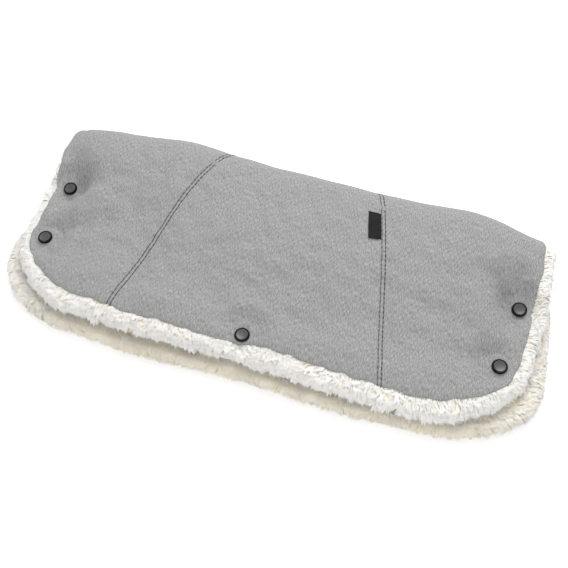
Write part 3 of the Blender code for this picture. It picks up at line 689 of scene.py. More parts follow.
def slab(name, top, foot, plan, material):
    """A closed padded sheet between two grids of points, with its plan in metres as UV map."""
    points = np.concatenate([top.reshape(-1, 3), foot.reshape(-1, 3)])
    faces = facing_out(points, [slab_faces(*top.shape[:2])])
    piece = mesh_piece(name, points, faces, material, sharp=50)
    layer = piece.data.uv_layers.new(name="cloth")
    index = np.zeros(len(piece.data.loops), np.int32)
    piece.data.loops.foreach_get("vertex_index", index)
    plan = np.concatenate([plan.reshape(-1, 2)] * 2)
    layer.data.foreach_set("uv", plan[index].astype(np.float32).ravel())
    return piece


def tube_faces(rows, ring):
    """Quads of a closed ring of points carried through rows, and a cap at either end."""
    index = np.arange(rows * ring).reshape(rows, ring)
    around = np.roll(index, -1, axis=1)
    sides = np.stack([index[:-1], around[:-1], around[1:], index[1:]], -1).reshape(-1, 4)
    return [sides, index[:1, ::-1], index[-1:]]


def tube(name, rings, material, sharp=50):
    """A closed body from rings of points: array of rows by points by 3."""
    points = rings.reshape(-1, 3)
    faces = facing_out(points, tube_faces(*rings.shape[:2]))
    return mesh_piece(name, points, faces, material, sharp)


def carry(piece, stretch):
    """Makes a piece follow its stretch: a flap's piece goes on the flap's body, and a piece round
    the fold has its placement baked into its points.
    """
    if stretch in FLAPS:
        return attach(piece, stretch + "_flap")
    _, first, last, below, above, _ = FOLD_STRETCHES[stretch]
    middle = np.radians((first + last) / 2)
    heading = np.array([0, -np.sin(middle), np.cos(middle)])
    levels = {first: [], last: []}
    for x in (0.0, BULGES[0][1], HALF_WIDTH):
        radius = fold_radius(np.array(x))
        for depth in (-0.004, BLEND_DEPTH):
            for degrees, found in levels.items():
                angle = np.radians(degrees)
                y = FOLD_CENTRE_Y + (radius - depth) * np.cos(angle)
                z = radius + (radius - depth) * np.sin(angle)
                found.append(heading @ np.array([0, y, z]))
    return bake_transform(piece)


def node_suffix(stretch):
    return stretch if stretch in FLAPS else FOLD_STRETCHES[stretch][5]


def spaced(first, last, step, edge=0.0003):
    """Values from first to last about a step apart, with one more just inside each end."""
    count = max(2, int(round(abs(last - first) / step)))
    edge = edge * np.sign(last - first)
    return np.concatenate([[first], np.linspace(first + edge, last - edge, count), [last]])


def across_panel(hand, fine):
    """Shares of the way across a panel, closer together at its seams and its outer edge."""
    near = NEAR_SEAM
    if hand == "centre":
        width, margin, far = 0.26, 0.009, near
    else:
        width, margin, far = 0.13, 0.011, NEAR_EDGE
    inner = np.linspace(0.009, width - margin, int(width / fine))
    return np.concatenate([near, inner, width - far[::-1]]) / width


def outline_x(side, q):
    """Half width of the cloth at q, with the rounded front corners."""
    deep = np.clip(in_corner(side, 0, q)[1], 0, 1)
    return half_width(side, q) - CORNER_LONG * (1 - np.sqrt(1 - deep**2))


def panel_plan(hand, stretch, fine):
    """The side that a stretch is on, and grids of x and q over one of its panels."""
    if stretch in FLAPS:
        side = FLAPS[stretch]
        corner = REACH[side] - CORNER_DEEP
        turn = np.linspace(0, np.pi / 2, int(CORNER_DEEP * 1.25 / fine))[1:]
        rows = np.concatenate([spaced(0, corner, fine), corner + CORNER_DEEP * np.sin(turn)])
    else:
        side, first, last = FOLD_STRETCHES[stretch][:3]
        degrees = spaced(first, last, np.degrees(fine / FOLD_RADIUS), 0.5)
        rows = -FOLD_RADIUS * np.radians(90 - np.abs(degrees))
    left, right = seam_at(side, LEFT, rows), seam_at(side, RIGHT, rows)
    edge = outline_x(side, rows)
    start, end = {"left": (left, -edge), "centre": (left, right), "right": (right, edge)}[hand]
    towards = np.sign(end - start)
    start, end = start + towards * SEAM_GAP, end - towards * (SEAM_GAP if hand == "centre" else 0)
    x = start[:, None] + (end - start)[:, None] * across_panel(hand, fine)
    if stretch in FLAPS:
        return side, x, np.broadcast_to(rows[:, None], x.shape)
    return side, x, fold_q(x, degrees[:, None])


def make_outer(hand, stretch, material):
    """One outer panel's stretch: cloth and the wadding under it, as one padded sheet."""
    side, x, q = panel_plan(hand, stretch, COARSE if stretch == "lower" else FINE)
    tuck = CLOTH_TUCK + (PAD - CLOTH_TUCK) * smooth(inset_of(side, x, q) / 0.010)
    under = -relief(side, x, q) * lower_fade(side, q) + 0.0010
    foot = place(side, x, q, np.maximum(tuck, under))
    plan = np.stack([x, side * (q + FOLD_RADIUS * np.pi / 2)], -1)
    piece = slab(f"cloth_{hand}_{stretch}", cloth_point(side, x, q), foot, plan, material)
    suffix = node_suffix(stretch)
    carry(piece, stretch)
    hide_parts(f"outer_{hand}_{suffix}", f"wadding_{suffix}")


def rim_section(run, reach, thick, sink=PILE_SINK):
    """The plush rim's cross-section, run metres from the seam: flat top, round nose, flat foot.

    Gives the distance out from the seam and the depth under the cloth's face, both drawn in by
    sink, and the outward and upward parts of the surface's normal. The nose is half an ellipse."""
    half = thick / 2
    nose = np.minimum(RIM_NOSE, reach)
    flat = reach - nose
    arc = np.pi * np.sqrt((nose**2 + half**2) / 2)
    turn = np.pi / 2 - np.pi * np.clip((run - flat) / arc, 0, 1)
    out = np.minimum(run, flat) + nose * np.cos(turn) - np.maximum(run - flat - arc, 0)
    depth = RIM_DROP + (1 - RIM_DROP / thick) * (half - half * np.sin(turn))
    away = unit(np.stack([half * np.cos(turn), nose * np.sin(turn)], -1))
    away_out, away_up = away[..., 0], away[..., 1]
    depth = depth + away_up * sink * 0.8 + RIM_UNDER
    return out - away_out * sink, depth, away_out, away_up


def edge_path(side, step=0.0012):
    """The flap's outline from its left end at the fold to its right end: x, q and normals."""
    reach = REACH[side]
    straight = np.arange(0, reach - CORNER_DEEP, step)
    turn = np.linspace(0, np.pi / 2, 90)
    front = half_width(side, np.array(reach)) - CORNER_LONG
    end = np.stack([
        np.concatenate([half_width(side, straight), front + CORNER_LONG * np.cos(turn)]),
        np.concatenate([straight, reach - CORNER_DEEP + CORNER_DEEP * np.sin(turn)]),
    ], 1)
    front_x = np.arange(-front + step, front, step)
    along_front = np.stack([front_x, np.full(len(front_x), reach)], 1)
    line = np.concatenate([end * [-1, 1], along_front, end[::-1]])
    along = np.gradient(line, axis=0)
    length = np.concatenate([[0], np.cumsum(np.linalg.norm(np.diff(line, axis=0), axis=1))])
    return line, unit(np.stack([-along[:, 1], along[:, 0]], 1)), length


def rim_thickness(side, line):
    return thickness(side, line[:, 0], line[:, 1], np.zeros(len(line))) - 0.0008


def sunk(side, x, q):
    """How far the plush sinks with the waist of the upper flap."""
    return waist(x, q, inset_of(side, x, q)) if side == UPPER else 0


def frame_at(side, x, q, depth, normal_x, normal_q):
    """The point at a place on the plan, then unit vectors there: outward along the cloth
    towards the plan's normal, up out of the cloth, and along its edge."""
    step = 0.0004
    here = place(side, x, q, depth)
    out = unit(place(side, x + normal_x * step, q + normal_q * step, depth) - here)
    up = place(side, x, q, depth - step) - here
    up = unit(up - out * np.sum(up * out, -1, keepdims=True))
    return here, out, up, np.cross(out, up)


def scattered(random, root, normal, lie, scatter, lengths, contrast, field, painted_shading=0.0):
    """A pile on its roots: normals, headings scattered round a lie, lengths and tones. The tones
    vary at random and are lowered by a painted shade.
    """
    count = len(root)
    heading = unit(lie + random.normal(0, scatter, (count, 3)))
    size = PILE * (lengths[0] + lengths[1] * random.random(count))
    tones = random.normal(0, 1, count) * contrast + field + painted_shading
    return root, normal, heading, size, tones


def tufts(name, pile, kind, random, material):
    """Tapered tufts of pile: two rings of three points and a tip each, bent towards heading.

    The middle ring stands along the normal and the tip leans on towards the heading, so each
    tuft curves over. Shading normals are mixed with the surface's own, which keeps it soft."""
    root, normal, heading, length, tones = pile
    count = len(root)
    width, softness, rise = kind
    width = width * (0.8 + 0.4 * random.random(count))
    across = unit(np.cross(heading, normal), 1e-9)
    deep = unit(np.cross(across, heading), 1e-9)
    middle = root + (normal * rise + heading * 0.34) * length[:, None]
    tip = middle + (normal * 0.04 + heading * 0.52) * length[:, None]
    points = []
    for centre, size in ((root, 1.0), (middle, 0.85)):
        for turn in np.radians([90, 210, 330]):
            side = across * np.cos(turn) + deep * np.sin(turn)
            points.append(centre + side * (width * size)[:, None])
    points = np.stack([*points, tip], 1)
    points[..., 2] = np.maximum(points[..., 2], TUFT_FLOOR)
    pattern = np.array([[2, 1, 0], [0, 1, 4], [0, 4, 3], [1, 2, 5], [1, 5, 4],
                        [2, 0, 3], [2, 3, 5], [3, 4, 6], [4, 5, 6], [5, 3, 6]])
    faces = (np.arange(count)[:, None, None] * 7 + pattern).reshape(-1, 3)
    flat = points.reshape(-1, 3)
    faces = facing_out(flat - root[0], [faces])
    piece = mesh_piece(name, flat, faces, material)
    own = unit(points - (root + (tip - root) * 0.4)[:, None, :], 1e-9)
    mixed = unit(own * (1 - softness) + normal[:, None, :] * softness, 1e-9)
    piece.data.normals_split_custom_set_from_vertices(mixed.reshape(-1, 3))
    # rise darkens each tuft towards its root in the plush material, as painted shade between the tufts.
    heights = np.tile([0.25, 0.25, 0.25, 0.7, 0.7, 0.7, 1.0], count)
    for label, values in (("rise", heights), ("tone", np.repeat(tones, 7))):
        attribute = piece.data.attributes.new(label, "FLOAT", "POINT")
        attribute.data.foreach_set("value", values.astype(np.float32))
    return piece


def pile_on_rim(side, span, random):
    """Pile on a flap's rim, between two shares of its edge. It lies outward, hangs at the nose,
    and gathers in locks. Its tone is painted: lighter on the upper rim, and darker and warmer
    on the lower rim as painted shade, most of all underneath and away from its left end."""
    line, normal, length = edge_path(side)
    first, last = span[0] * length[-1], span[1] * length[-1]
    count = int((last - first) * RIM_AROUND / RIM_SPACING**2)
    s = random.uniform(first, last, count)
    run = random.uniform(-0.0015, RIM_AROUND, count)
    columns = (*line.T, *normal.T, rim_thickness(side, line))
    x, q, normal_x, normal_q, thick = (np.interp(s, length, column) for column in columns)
    lump = 0.0009 * ripple(s, run, 0.015, 71 + side) + 0.0004 * ripple(s, run, 0.007, 73 + side)
    sink = PILE_SINK - lump * smooth(run / 0.004)
    reach = along_outline(RIM_REACHES[side], x, q)
    out, depth, away_out, away_up = rim_section(run, reach, thick, sink)
    plan_x, plan_q = x + normal_x * out, q + normal_q * out
    depth = depth + sunk(side, plan_x, plan_q)
    root, outward, up, along = frame_at(side, plan_x, plan_q, depth, normal_x, normal_q)
    facing = side * away_up
    away_out, away_up = away_out[:, None], away_up[:, None]
    hang = smooth((0.45 - facing) / 0.8)[:, None]
    lie = side * (outward * away_up - up * away_out)
    lie = lie * (1 - 0.6 * hang) + np.array([0, 0, -0.6]) * hang + outward * 0.25 * hang
    wander = ripple(s, run * 0.6, 0.020, 21 + side)
    centre = (np.floor(s / LOCK_SIZE + wander * 0.5) + 0.5 - wander * 0.5) * LOCK_SIZE
    gather = np.clip((centre - s) / LOCK_SIZE, -1, 1)
    combing, wavelength, seed, drawn, fringe = COMBING[side]
    combed = combing * ripple(s, run, wavelength, seed)
    lie = lie * 0.95 + along * (gather * LOCKS * drawn + combed)[:, None]
    field = ripple(s, run, 0.014, 33) * 0.5
    root, normal, heading, size, tones = scattered(
        random, root, outward * away_out + up * away_up, lie, 0.13, (0.85, 0.3), 0.4, field
    )
    size = size * (1 + 0.35 * LOCKS * (0.5 - np.abs(gather)))
    edge = bell((facing + 0.05) / 0.45) * fringe
    size = size * (1 + edge * (0.42 + 0.38 * ripple(s, 0 * s, 0.012, 51)))
    # Painted light and shade: the upper rim's tone is raised, so it and its roots come out lighter. The
    # lower rim's tone is lowered towards the darker, warm colour where it faces down and along its
    # middle stretch, as painted shade under the upper rim.
    if side == UPPER:
        return root, normal, heading, size, tones + 2.0
    painted_shade_span = smooth((x + 0.24) / 0.08) * (1 - 0.8 * smooth((x - 0.225) / 0.030))
    return root, normal, heading, size, tones - 2.2 * smooth((0.75 - facing) / 1.2) - 2.6 * painted_shade_span


def rim_band(side, name, material):
    """The plush rim under its pile: the rim's section carried round the flap's edge."""
    line, normal, _ = edge_path(side, 0.004)
    keep = np.arange(0, len(line), 2)
    keep[-1] = len(line) - 1
    line, normal = line[keep], normal[keep]
    reach = along_outline(RIM_REACHES[side], *line.T)[:, None]
    run = np.concatenate([np.linspace(-0.006, 0.004, 4), np.linspace(0.007, 0.036, 14), [0.044, 0.052]])
    out, depth = rim_section(run[None, :], reach, rim_thickness(side, line)[:, None])[:2]
    x, q = line[:, :1] + normal[:, :1] * out, line[:, 1:] + normal[:, 1:] * out
    return tube(name, place(side, x, q, depth + sunk(side, x, q)), material)


def inner_pad(side, name, material):
    """The plush over the hand space of a flap, as a plain sheet under its pile."""
    rows = spaced(0, REACH[side] - 0.004, 0.0035)
    x = outline_x(side, rows)[:, None] * np.linspace(-1, 1, 141) * 0.985
    q = np.broadcast_to(rows[:, None], x.shape)
    drop = sunk(side, x, q)
    deep = thickness(side, x, q, inset_of(side, x, q)) - PILE_SINK
    top = place(side, x, q, INNER_PAD[0] + drop)
    foot = place(side, x, q, np.maximum(deep, INNER_PAD[1] + drop))
    return slab(name, top, foot, np.stack([x, q], -1), material)


def pile_inside(side, random):
    """Pile on a flap's inner face, clear of the studs, leaning to the front, darkened as painted shade.
    """
    reach = REACH[side]
    wide = half_width(side, np.array(reach))
    count = int(2 * wide * reach / INNER_SPACING**2)
    x = random.uniform(-wide, wide, count)
    q = random.uniform(0, reach, count)
    inset = inset_of(side, x, q)
    keep = inset > 0.004
    for stud in STUDS:
        keep &= np.hypot(x - stud["x"], q - stud[side]) > STUD_CLEARANCE
    x, q, inset = x[keep], q[keep], inset[keep]
    root, outward, up, _ = frame_at(side, x, q, thickness(side, x, q, inset) - PILE_SINK, 0, 1)
    field = ripple(x, q, 0.018, 35) * 0.6
    return scattered(random, root, -up, outward * 0.6, 0.30, (0.9, 0.4), 0.5, field, INNER_PAINTED_SHADE)


def fold_end(hand, run):
    """The plush rolled out at one end of the fold: x, depth and parts of the normal."""
    out, depth, away_out, away_up = rim_section(run, np.array(FOLD_RIM_REACH[hand]), LAYERS)
    return hand * (HALF_WIDTH + out), depth, away_out, away_up


def fold_pad(stretch, material):
    """The plush inside one stretch of the fold, rolled out at both ends: a ring of points along
    the fold's inner side and back beside the cloth, carried through the stretch's angles."""
    side, first, last = FOLD_STRETCHES[stretch][:3]
    degrees = spaced(first, last, 6, 0.5)[:, None]
    ends = {}
    for hand, reach in FOLD_RIM_REACH.items():
        run = np.concatenate([np.linspace(-0.008, reach, 5), reach + np.linspace(0.003, 0.032, 12)])
        ends[hand] = fold_end(hand, run)[:2]
    (left_x, left_depth), (right_x, right_depth) = ends[LEFT], ends[RIGHT]
    middle = np.linspace(HALF_WIDTH - 0.026, -HALF_WIDTH + 0.026, 30)
    foot, head = np.full(len(middle), right_depth[-1]), np.full(len(middle), 0.0050)
    ring_x = np.concatenate([right_x, middle, left_x[::-1], middle[::-1]])
    depth = np.concatenate([right_depth, foot, left_depth[::-1], head])
    x = np.broadcast_to(ring_x, (len(degrees), len(ring_x)))
    return tube(f"lining_{stretch}", place(side, x, fold_q(x, degrees), depth), material)


def pile_in_fold(stretch, random):
    """Pile in one stretch of the fold: hanging over both of its ends, and standing inside, where
    it is darkened as painted shade.
    """
    side, first, last = FOLD_STRETCHES[stretch][:3]
    arc = FOLD_RADIUS * np.radians(last - first)
    piles = []
    for hand, reach in FOLD_RIM_REACH.items():
        around = reach + 0.026
        count = int(arc * around / (FOLD_SPACING * 0.5) ** 2)
        run = random.uniform(-0.001, around, count)
        degrees = random.uniform(first, last, count)
        x, depth, away_out, away_up = fold_end(hand, run)
        root, outward, up, _ = frame_at(side, x, fold_q(x, degrees), depth, hand, 0)
        away_out, away_up = away_out[:, None], away_up[:, None]
        normal, down = outward * away_out + up * away_up, outward * away_up - up * away_out
        field = ripple(degrees * 0.0005, run, 0.012, 39) * 0.8
        pile = scattered(random, root, normal, down * 0.9, 0.35, (0.9, 0.35), 0.6, field)
        piles.append((*pile[:3], pile[3] * (0.55 if hand == LEFT else 1.0), pile[4]))
    count = int(2 * HALF_WIDTH * arc * 0.6 / FOLD_SPACING**2)
    x = random.uniform(-HALF_WIDTH + 0.012, HALF_WIDTH - 0.012, count)
    degrees = random.uniform(first, last, count)
    root, _, up, _ = frame_at(side, x, fold_q(x, degrees), LAYERS - PILE_SINK, 1, 0)
    field = ripple(x, degrees * 0.0005, 0.018, 41) * 0.6
    piles.append(scattered(random, root, -up, 0, 0.5, (0.9, 0.4), 0.5, field, INNER_PAINTED_SHADE))
    return [np.concatenate(column) for column in zip(*piles)]


def make_lining(material):
    """The plush lining: sheets that give it body, and tufts of pile all over them."""
    random = np.random.default_rng(7)
    for stretch in [*FLAPS, *FOLD_STRETCHES]:
        if stretch in FLAPS:
            side = FLAPS[stretch]
            parts = [rim_band(side, f"plush_rim_{stretch}", material),
                     inner_pad(side, f"plush_inner_{stretch}", material)]
            for part, span in RIM_SPANS.items():
                pile = pile_on_rim(side, span, random)
                parts.append(tufts(f"pile_{part}_{stretch}", pile, RIM_TUFT, random, material))
            pile = pile_inside(side, random)
            parts.append(tufts(f"pile_inner_{stretch}", pile, INNER_TUFT, random, material))
        else:
            parts = [fold_pad(stretch, material)]
            pile = pile_in_fold(stretch, random)
            parts.append(tufts(f"pile_{stretch}", pile, FOLD_TUFT, random, material))
        for piece in parts:
            carry(piece, stretch)
            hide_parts(f"lining_{node_suffix(stretch)}")


def stitch_centres(stretch):
    """The side that a stretch is on, and q at the middle of each of its stitches."""
    if stretch in FLAPS:
        side = FLAPS[stretch]
        low, high = STITCH_PITCH / 2, REACH[side] - 0.0006
    else:
        side, first, last = FOLD_STRETCHES[stretch][:3]
        near, far = sorted((90 - abs(first), 90 - abs(last)))
        low, high = (-FOLD_RADIUS * np.radians(angle) for angle in (far, near))
        low = low + STITCH_PITCH / 2 * (far == 90)
    steps = np.arange(np.ceil(low / STITCH_PITCH - 0.5) + 0.5, high / STITCH_PITCH, 1.0)
    centres, half = steps * STITCH_PITCH, STITCH_LENGTH / 2
    return side, centres[(centres - half > low - 0.0012) & (centres + half < high + 0.0016)]


def make_stitches(material):
    """Two rows of topstitching beside each seam. Each stitch is a bead of thread: rings of six
    points along it, widest at its middle, with its ends sunk in the cloth."""
    ring = np.radians(np.arange(6) * 60)[:, None]
    place_along, swell = STITCH_BEAD.T
    for stretch in STRETCHES:
        side, centres = stitch_centres(stretch)
        for hand, hand_name in ((LEFT, "left"), (RIGHT, "right")):
            beads = []
            for row, radius in zip(STITCH_ROWS, STITCH_RADII[hand]):
                for centre in centres:
                    q = centre + place_along * STITCH_LENGTH / 2
                    x = seam_at(side, hand, q) + row
                    middle = cloth_point(side, x, q, -0.0002 + 0.0004 * np.abs(place_along) ** 3)
                    up, along = (way[:, None] for way in frame_at(side, x, q, 0.0, 0, 1)[2:])
                    size = (radius * swell)[:, None, None]
                    round_it = along * (np.cos(ring) * size)
                    beads.append(middle[:, None] + round_it + up * (np.sin(ring) * size * 0.8))
            beads = np.array(beads)
            first = np.arange(len(beads))[:, None, None] * beads[0, ..., 0].size
            faces = tube_faces(*beads.shape[1:3])
            faces = [(first + group).reshape(-1, group.shape[1]) for group in faces]
            points = beads.reshape(-1, 3)
            points[:, 2] = np.maximum(points[:, 2], FLOOR_CLEARANCE)
            faces = facing_out(points, faces)
            piece = mesh_piece(f"topstitch_{hand_name}_{stretch}", points, faces, material)
            carry(piece, stretch)


def make_label(material):
    """The woven label: a folded tab, one edge in the right seam, lying on the centre panel."""
    rows = np.linspace(LABEL_START, LABEL_START + LABEL_LENGTH, 34)
    share = np.concatenate([[0, 0.01, 0.03, 0.06], np.linspace(0.1, 1, 16)])
    free = 1 - share
    right = seam_at(UPPER, RIGHT, rows)[:, None]
    x = right - LABEL_WIDTH * free
    q = rows[:, None] + (0.0016 + 0.0022 * (rows[:, None] - rows[0]) / LABEL_LENGTH) * free
    curl = 0.0004 * np.sin(rows / LABEL_LENGTH * 9)[:, None] * free + 0.0005 * free**2
    fold = 0.00055 * np.sqrt(np.clip(1 - (1 - np.clip(share / 0.06, 0, 1)) ** 2, 0, 1))
    top = cloth_point(UPPER, x, q, -0.0006 - curl - fold)
    foot = cloth_point(UPPER, x, q, -0.0005 - curl + fold * 0.4)
    plan = np.stack([x - right + LABEL_WIDTH, q - LABEL_START], -1)
    piece = slab("woven_label", top, foot, plan, material)
    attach(piece, "upper_flap")
    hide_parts("label")


def turned(name, profile, origin, axis, material, sides=56, sharp=28):
    """A profile of radius and height turned about an axis. A radius of 0 closes it there."""
    across = np.array([1.0, 0, 0])
    beside = np.cross(axis, across)
    radius, height = np.array(profile, float).T[..., None, None]
    turn = (np.arange(sides) * 2 * np.pi / sides)[:, None]
    ring = np.cos(turn) * across + np.sin(turn) * beside
    return tube(name, origin + axis * height + ring * np.maximum(radius, 0.00002), material, sharp)


def rounded(corners, radius=0.00025, steps=3):
    """A profile with each inner corner replaced by a short arc-like run of points."""
    corners = np.array(corners, float)
    share = np.linspace(0, 1, steps + 1)[:, None]
    result = [corners[0]]
    for before, here, after in zip(corners[:-2], corners[1:-1], corners[2:]):
        back, on = before - here, after - here
        room = min(radius, np.linalg.norm(back) / 2.2, np.linalg.norm(on) / 2.2)
        start, end = here + unit(back) * room, here + unit(on) * room
        result.extend((1 - share) ** 2 * start + 2 * share * (1 - share) * here + share**2 * end)
    return result + [corners[-1]]


def raised(level, profile):
    return [(radius, level + height) for radius, height in profile]


def make_studs(metal, painted_reflection_dish):
    """The press studs: a dished cap, its socket, and the stud and post of the lower flap."""
    for stud in STUDS:
        name = stud["name"]
        stretch = np.hypot(stud["slope"], 1)
        axis = unit(np.array([0, -stud["slope"], 1]) / stretch)
        seat = np.array([stud["x"], FOLD_CENTRE_Y - stud[LOWER], STUD_LIFT])
        across = (stud["height"] - STUD_LIFT) * stretch
        foot = (across - (GAP + WALL + GAP + SOCKET_HEIGHT + GAP)) / 2 + GAP
        flange_top = foot + WALL
        stud_top = flange_top + 0.0032
        hollow_top = stud_top - 0.0007
        socket_foot = flange_top + GAP
        socket_top = socket_foot + SOCKET_HEIGHT
        cavity_top = socket_top - WALL
        shaft_foot = cavity_top + GAP
        cap_foot = across + GAP
        cap = raised(cap_foot, CAP_PROFILE) + [(SHAFT_RADIUS, shaft_foot), (0, shaft_foot)]
        disc = raised(cap_foot, DISC_PROFILE)
        socket = [
            (0.0031, socket_foot), (0.00575, socket_foot), (SOCKET_RADIUS, socket_foot + 0.0010),
            (SOCKET_RADIUS, socket_top), (BORE_RADIUS, socket_top), (BORE_RADIUS, cavity_top),
            (0.0031, cavity_top), (0.0031, socket_foot),
        ]
        tip = [
            (0, stud_top), (0.0019, stud_top), (0.0027, stud_top - 0.0011),
            (0.0024, flange_top + 0.0011), (0.0024, flange_top), (FLANGE_RADIUS, flange_top),
            (FLANGE_RADIUS, foot), (BORE_RADIUS, foot), (BORE_RADIUS, hollow_top),
            (0, hollow_top),
        ]
        post = [
            (0, stud_top - 0.0010), (SHAFT_RADIUS, stud_top - 0.0010), (SHAFT_RADIUS, -GAP),
            (FLANGE_RADIUS, -GAP), (FLANGE_RADIUS, -GAP - WALL), (0, -GAP - WALL),
        ]
        for kind, profile, body, finish in (
            ("cap", rounded(cap), "upper_flap", metal),
            ("disc", rounded(disc), "upper_flap", painted_reflection_dish),
            ("socket", socket, "upper_flap", metal),
            ("stud", rounded(tip), "lower_flap", metal),
            ("post", rounded(post), "lower_flap", metal),
        ):
            piece = turned(f"snap_{kind}_{name}", profile, seat, axis, finish)
            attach(piece, body)
            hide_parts(f"{'cap' if kind == 'disc' else kind}_{name}")


class Finish:
    """The nodes of a material or of the world, written step by step."""

    def __init__(self, owner):
        owner.use_nodes = True
        self.owner, self.tree = owner, owner.node_tree

    def add(self, kind, inputs=(), **settings):
        node = self.tree.nodes.new(kind)
        for key, value in settings.items():
            setattr(node, key, value)
        self.feed(node, dict(inputs))
        return node

    def feed(self, node, inputs):
        for key, value in inputs.items():
            if isinstance(value, bpy.types.NodeSocket):
                self.tree.links.new(value, node.inputs[key])
            else:
                node.inputs[key].default_value = value

    def maths(self, operation, a, b=0.0):
        return self.add("ShaderNodeMath", {0: a, 1: b}, operation=operation).outputs[0]

    def mix(self, share, a, b):
        node = self.add("ShaderNodeMix", data_type="RGBA")
        self.feed(node, {"Factor": share, "A": a, "B": b})
        return node.outputs["Result"]

    def ramp(self, value, low, high):
        node = self.add("ShaderNodeMapRange", {"Value": value, "From Min": low, "From Max": high})
        return node.outputs["Result"]

    def noise(self, vector, scale, detail, stretch=(1, 1, 1)):
        mapping = self.add("ShaderNodeMapping", {"Vector": vector, "Scale": stretch})
        inputs = {"Vector": mapping.outputs[0], "Scale": scale, "Detail": detail}
        return self.add("ShaderNodeTexNoise", inputs).outputs["Fac"]

    def wave(self, vector, scale, distortion, direction):
        inputs = {"Vector": vector, "Scale": scale, "Distortion": distortion}
        return self.add("ShaderNodeTexWave", inputs, bands_direction=direction).outputs["Fac"]

    def plan(self):
        """The cloth's own plan coordinates, in metres."""
        return self.add("ShaderNodeUVMap", uv_map="cloth").outputs["UV"]

    def surface(self, colour, roughness, gloss, bump=None, **sheen):
        """Sets the shader, with a bump given as height, strength and distance."""
        inputs = {"Base Color": colour, "Roughness": roughness, "Specular IOR Level": gloss}
        if sheen:
            inputs.update({"Sheen Weight": sheen["sheen"], "Sheen Roughness": sheen["matt"]})
        if bump:
            settings = zip(("Height", "Strength", "Distance"), bump)
            inputs["Normal"] = self.add("ShaderNodeBump", settings).outputs[0]
        self.feed(self.tree.nodes["Principled BSDF"], inputs)
        return self.owner


def grey(value):
    return (value, value, value * 0.995, 1)


# Weft, warp and patches of the cloth: detail, scale both ways, contrast's limits, and share
YARNS = (
    (1, (430, 1700, 1), 0.36, 0.64, 0.26),
    (1, (1350, 260, 1), 0.36, 0.64, 0.68),
    (2, (70, 70, 1), 0.3, 0.7, 0.06),
)


def cloth_finish():
    """Grey mélange cloth: light and dark yarns in short streaks both ways, a fine plain weave."""
    finish = Finish(bpy.data.materials.new("grey_melange"))
    plan = finish.plan()
    parts = []
    for detail, stretch, low, high, share in YARNS:
        field = finish.ramp(finish.noise(plan, 1.0, detail, stretch), low, high)
        parts.append(finish.maths("MULTIPLY", field, share))
    streaks = finish.maths("ADD", finish.maths("ADD", parts[0], parts[1]), parts[2])
    grid = finish.maths("MULTIPLY", *(finish.wave(plan, 330.0, 0.6, way) for way in "XY"))
    weave = finish.maths("ADD", grid, finish.maths("MULTIPLY", streaks, 0.6))
    colour = finish.mix(streaks, grey(0.182), grey(0.388))
    return finish.surface(colour, 0.92, 0.25, (weave, 0.35, 0.0003), sheen=0.12, matt=0.5)


def plush_finish():
    """Cream pile with painted shade: darker and warmer at the roots and on the sheets under the
    pile, and where a tuft's tone is lowered. The tone also varies at random.
    """
    finish = Finish(bpy.data.materials.new("cream_plush"))
    nodes = (finish.add("ShaderNodeAttribute", attribute_name=name) for name in ("rise", "tone"))
    rise, tone = (node.outputs["Fac"] for node in nodes)
    # Painted shade: the mix runs from a darker, warm colour at the roots, and on pieces without these
    # attributes, to cream at the tips, moved by the tone.
    painted_shading = finish.ramp(finish.maths("ADD", rise, finish.maths("MULTIPLY", tone, 0.14)), -0.15, 0.95)
    colour = finish.mix(painted_shading, (0.86, 0.75, 0.52, 1), (0.96, 0.955, 0.925, 1))
    return finish.surface(colour, 1.0, 0.1, sheen=0.35, matt=0.7)


def thread_finish():
    """Matt grey thread with a twist."""
    finish = Finish(bpy.data.materials.new("grey_thread"))
    strands = finish.noise(finish.add("ShaderNodeTexCoord").outputs["Object"], 900, 2)
    colour = finish.mix(strands, grey(0.024), grey(0.052))
    return finish.surface(colour, 0.75, 0.5, (strands, 0.3, 0.0002))


def label_finish():
    """Black woven label: close ribs across, and a slight lustre."""
    finish = Finish(bpy.data.materials.new("black_label"))
    plan = finish.plan()
    threads = finish.noise(plan, 1.0, 2, (900, 2600, 1))
    colour = finish.mix(threads, (0.003, 0.003, 0.003, 1), (0.014, 0.014, 0.014, 1))
    return finish.surface(colour, 0.75, 0.15, (finish.wave(plan, 420.0, 0.3, "Y"), 0.4, 0.0002))


def metal_finish(name, level, roughness, gloss):
    """Lacquered metal, black or, for the caps' centres, a lighter grey as painted reflection, with
    fine unevenness in its colour and gloss.
    """
    finish = Finish(bpy.data.materials.new(name))
    cloud = finish.noise(finish.add("ShaderNodeTexCoord").outputs["Object"], 700, 3)
    colour = finish.mix(cloud, (*[level * 0.8] * 3, 1), (*[level] * 3, 1))
    limits = {"Value": cloud, "To Min": roughness - 0.06, "To Max": roughness + 0.06}
    uneven = finish.add("ShaderNodeMapRange", limits).outputs["Result"]
    return finish.surface(colour, uneven, gloss, (cloud, 0.12, 0.0002))


def make_camera():
    """The camera at the photograph's own angle, worked out from the caps, seams and outline."""
    azimuth, elevation, roll = np.radians(CAMERA_TURNS)
    level = np.cos(elevation)
    back = np.array([np.sin(azimuth) * level, -np.cos(azimuth) * level, np.sin(elevation)])
    right = np.array([np.cos(azimuth), np.sin(azimuth), 0])
    up = np.cross(back, right)
    axes = [right * np.cos(roll) + up * np.sin(roll), up * np.cos(roll) - right * np.sin(roll), back]
    data = bpy.data.cameras.new("camera")
    data.sensor_width = SENSOR
    data.lens = SENSOR * FOCAL_PIXELS / PICTURE_PIXELS
    data.clip_start, data.clip_end = 0.01, 20
    camera = bpy.data.objects.new("camera", data)
    bpy.context.scene.collection.objects.link(camera)
    turn = Matrix(np.stack(axes, 1).tolist()).to_4x4()
    camera_at = Vector(np.array(CAMERA_TARGET) + back * CAMERA_DISTANCE)
    camera.matrix_world = Matrix.Translation(camera_at) @ turn
    bpy.context.scene.camera = camera


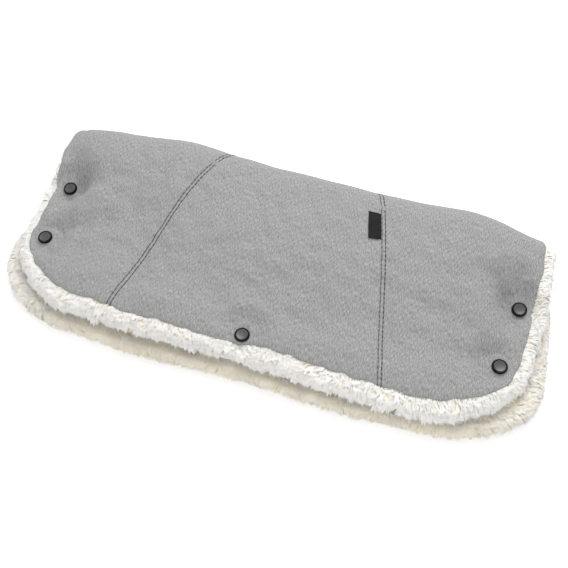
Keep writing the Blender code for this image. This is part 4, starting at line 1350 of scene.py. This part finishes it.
def seen_rays(finish):
    """1 for rays that look at the background straight, in gloss or through glass."""
    path = finish.add("ShaderNodeLightPath")
    seen = finish.maths("MAXIMUM", path.outputs["Is Camera Ray"], path.outputs["Is Glossy Ray"])
    return finish.maths("MAXIMUM", seen, path.outputs["Is Transmission Ray"])


def make_stage():
    """A white floor that keeps the shadow, a white background, and soft light from above."""
    world = bpy.data.worlds.new("studio")
    bpy.context.scene.world = world
    studio = Finish(world)
    limits = {"Value": seen_rays(studio), "To Min": WORLD_LIGHT, "To Max": 1.0}
    strength = studio.add("ShaderNodeMapRange", limits).outputs["Result"]
    studio.feed(studio.tree.nodes["Background"], {"Strength": strength, "Color": WHITE})

    finish = Finish(bpy.data.materials.new("floor"))
    finish.surface((0.86, 0.86, 0.86, 1), 1.0, 0.0)
    glow = finish.maths("MULTIPLY", seen_rays(finish), FLOOR_GLOW)
    shader = finish.tree.nodes["Principled BSDF"]
    finish.feed(shader, {"Emission Color": WHITE, "Emission Strength": glow})
    corners = np.array([[-1, -1, 0], [1, -1, 0], [1, 1, 0], [-1, 1, 0]])
    points = corners * FLOOR_HALF + [0, 0, FLOOR_LEVEL]
    floor = mesh_piece("floor", points, [np.array([[0, 1, 2, 3]])], finish.owner)

    for name, place_at, size, power in LAMPS:
        data = bpy.data.lights.new(name, "AREA")
        data.shape, data.size, data.energy = "DISK", size, power
        lamp = bpy.data.objects.new(name, data)
        bpy.context.scene.collection.objects.link(lamp)
        lamp.location = place_at
        lamp.rotation_mode = "QUATERNION"
        lamp.rotation_quaternion = Vector(place_at).to_track_quat("Z", "Y")
    bpy.context.scene.view_settings.view_transform = "Standard"


cloth = cloth_finish()
swell_padding(cloth)
for stretch in STRETCHES:
    for hand in ("left", "centre", "right"):
        make_outer(hand, stretch, cloth)
make_stitches(thread_finish())
make_lining(plush_finish())
make_label(label_finish())
lacquer = metal_finish("black_lacquer", 0.004, 0.40, 0.12)
# The caps' centre discs: a lighter grey than the lacquer as a painted reflection, besides their real,
# stronger gloss.
make_studs(lacquer, metal_finish("cap_centre", 0.056, 0.32, 0.45))
make_camera()
make_stage()
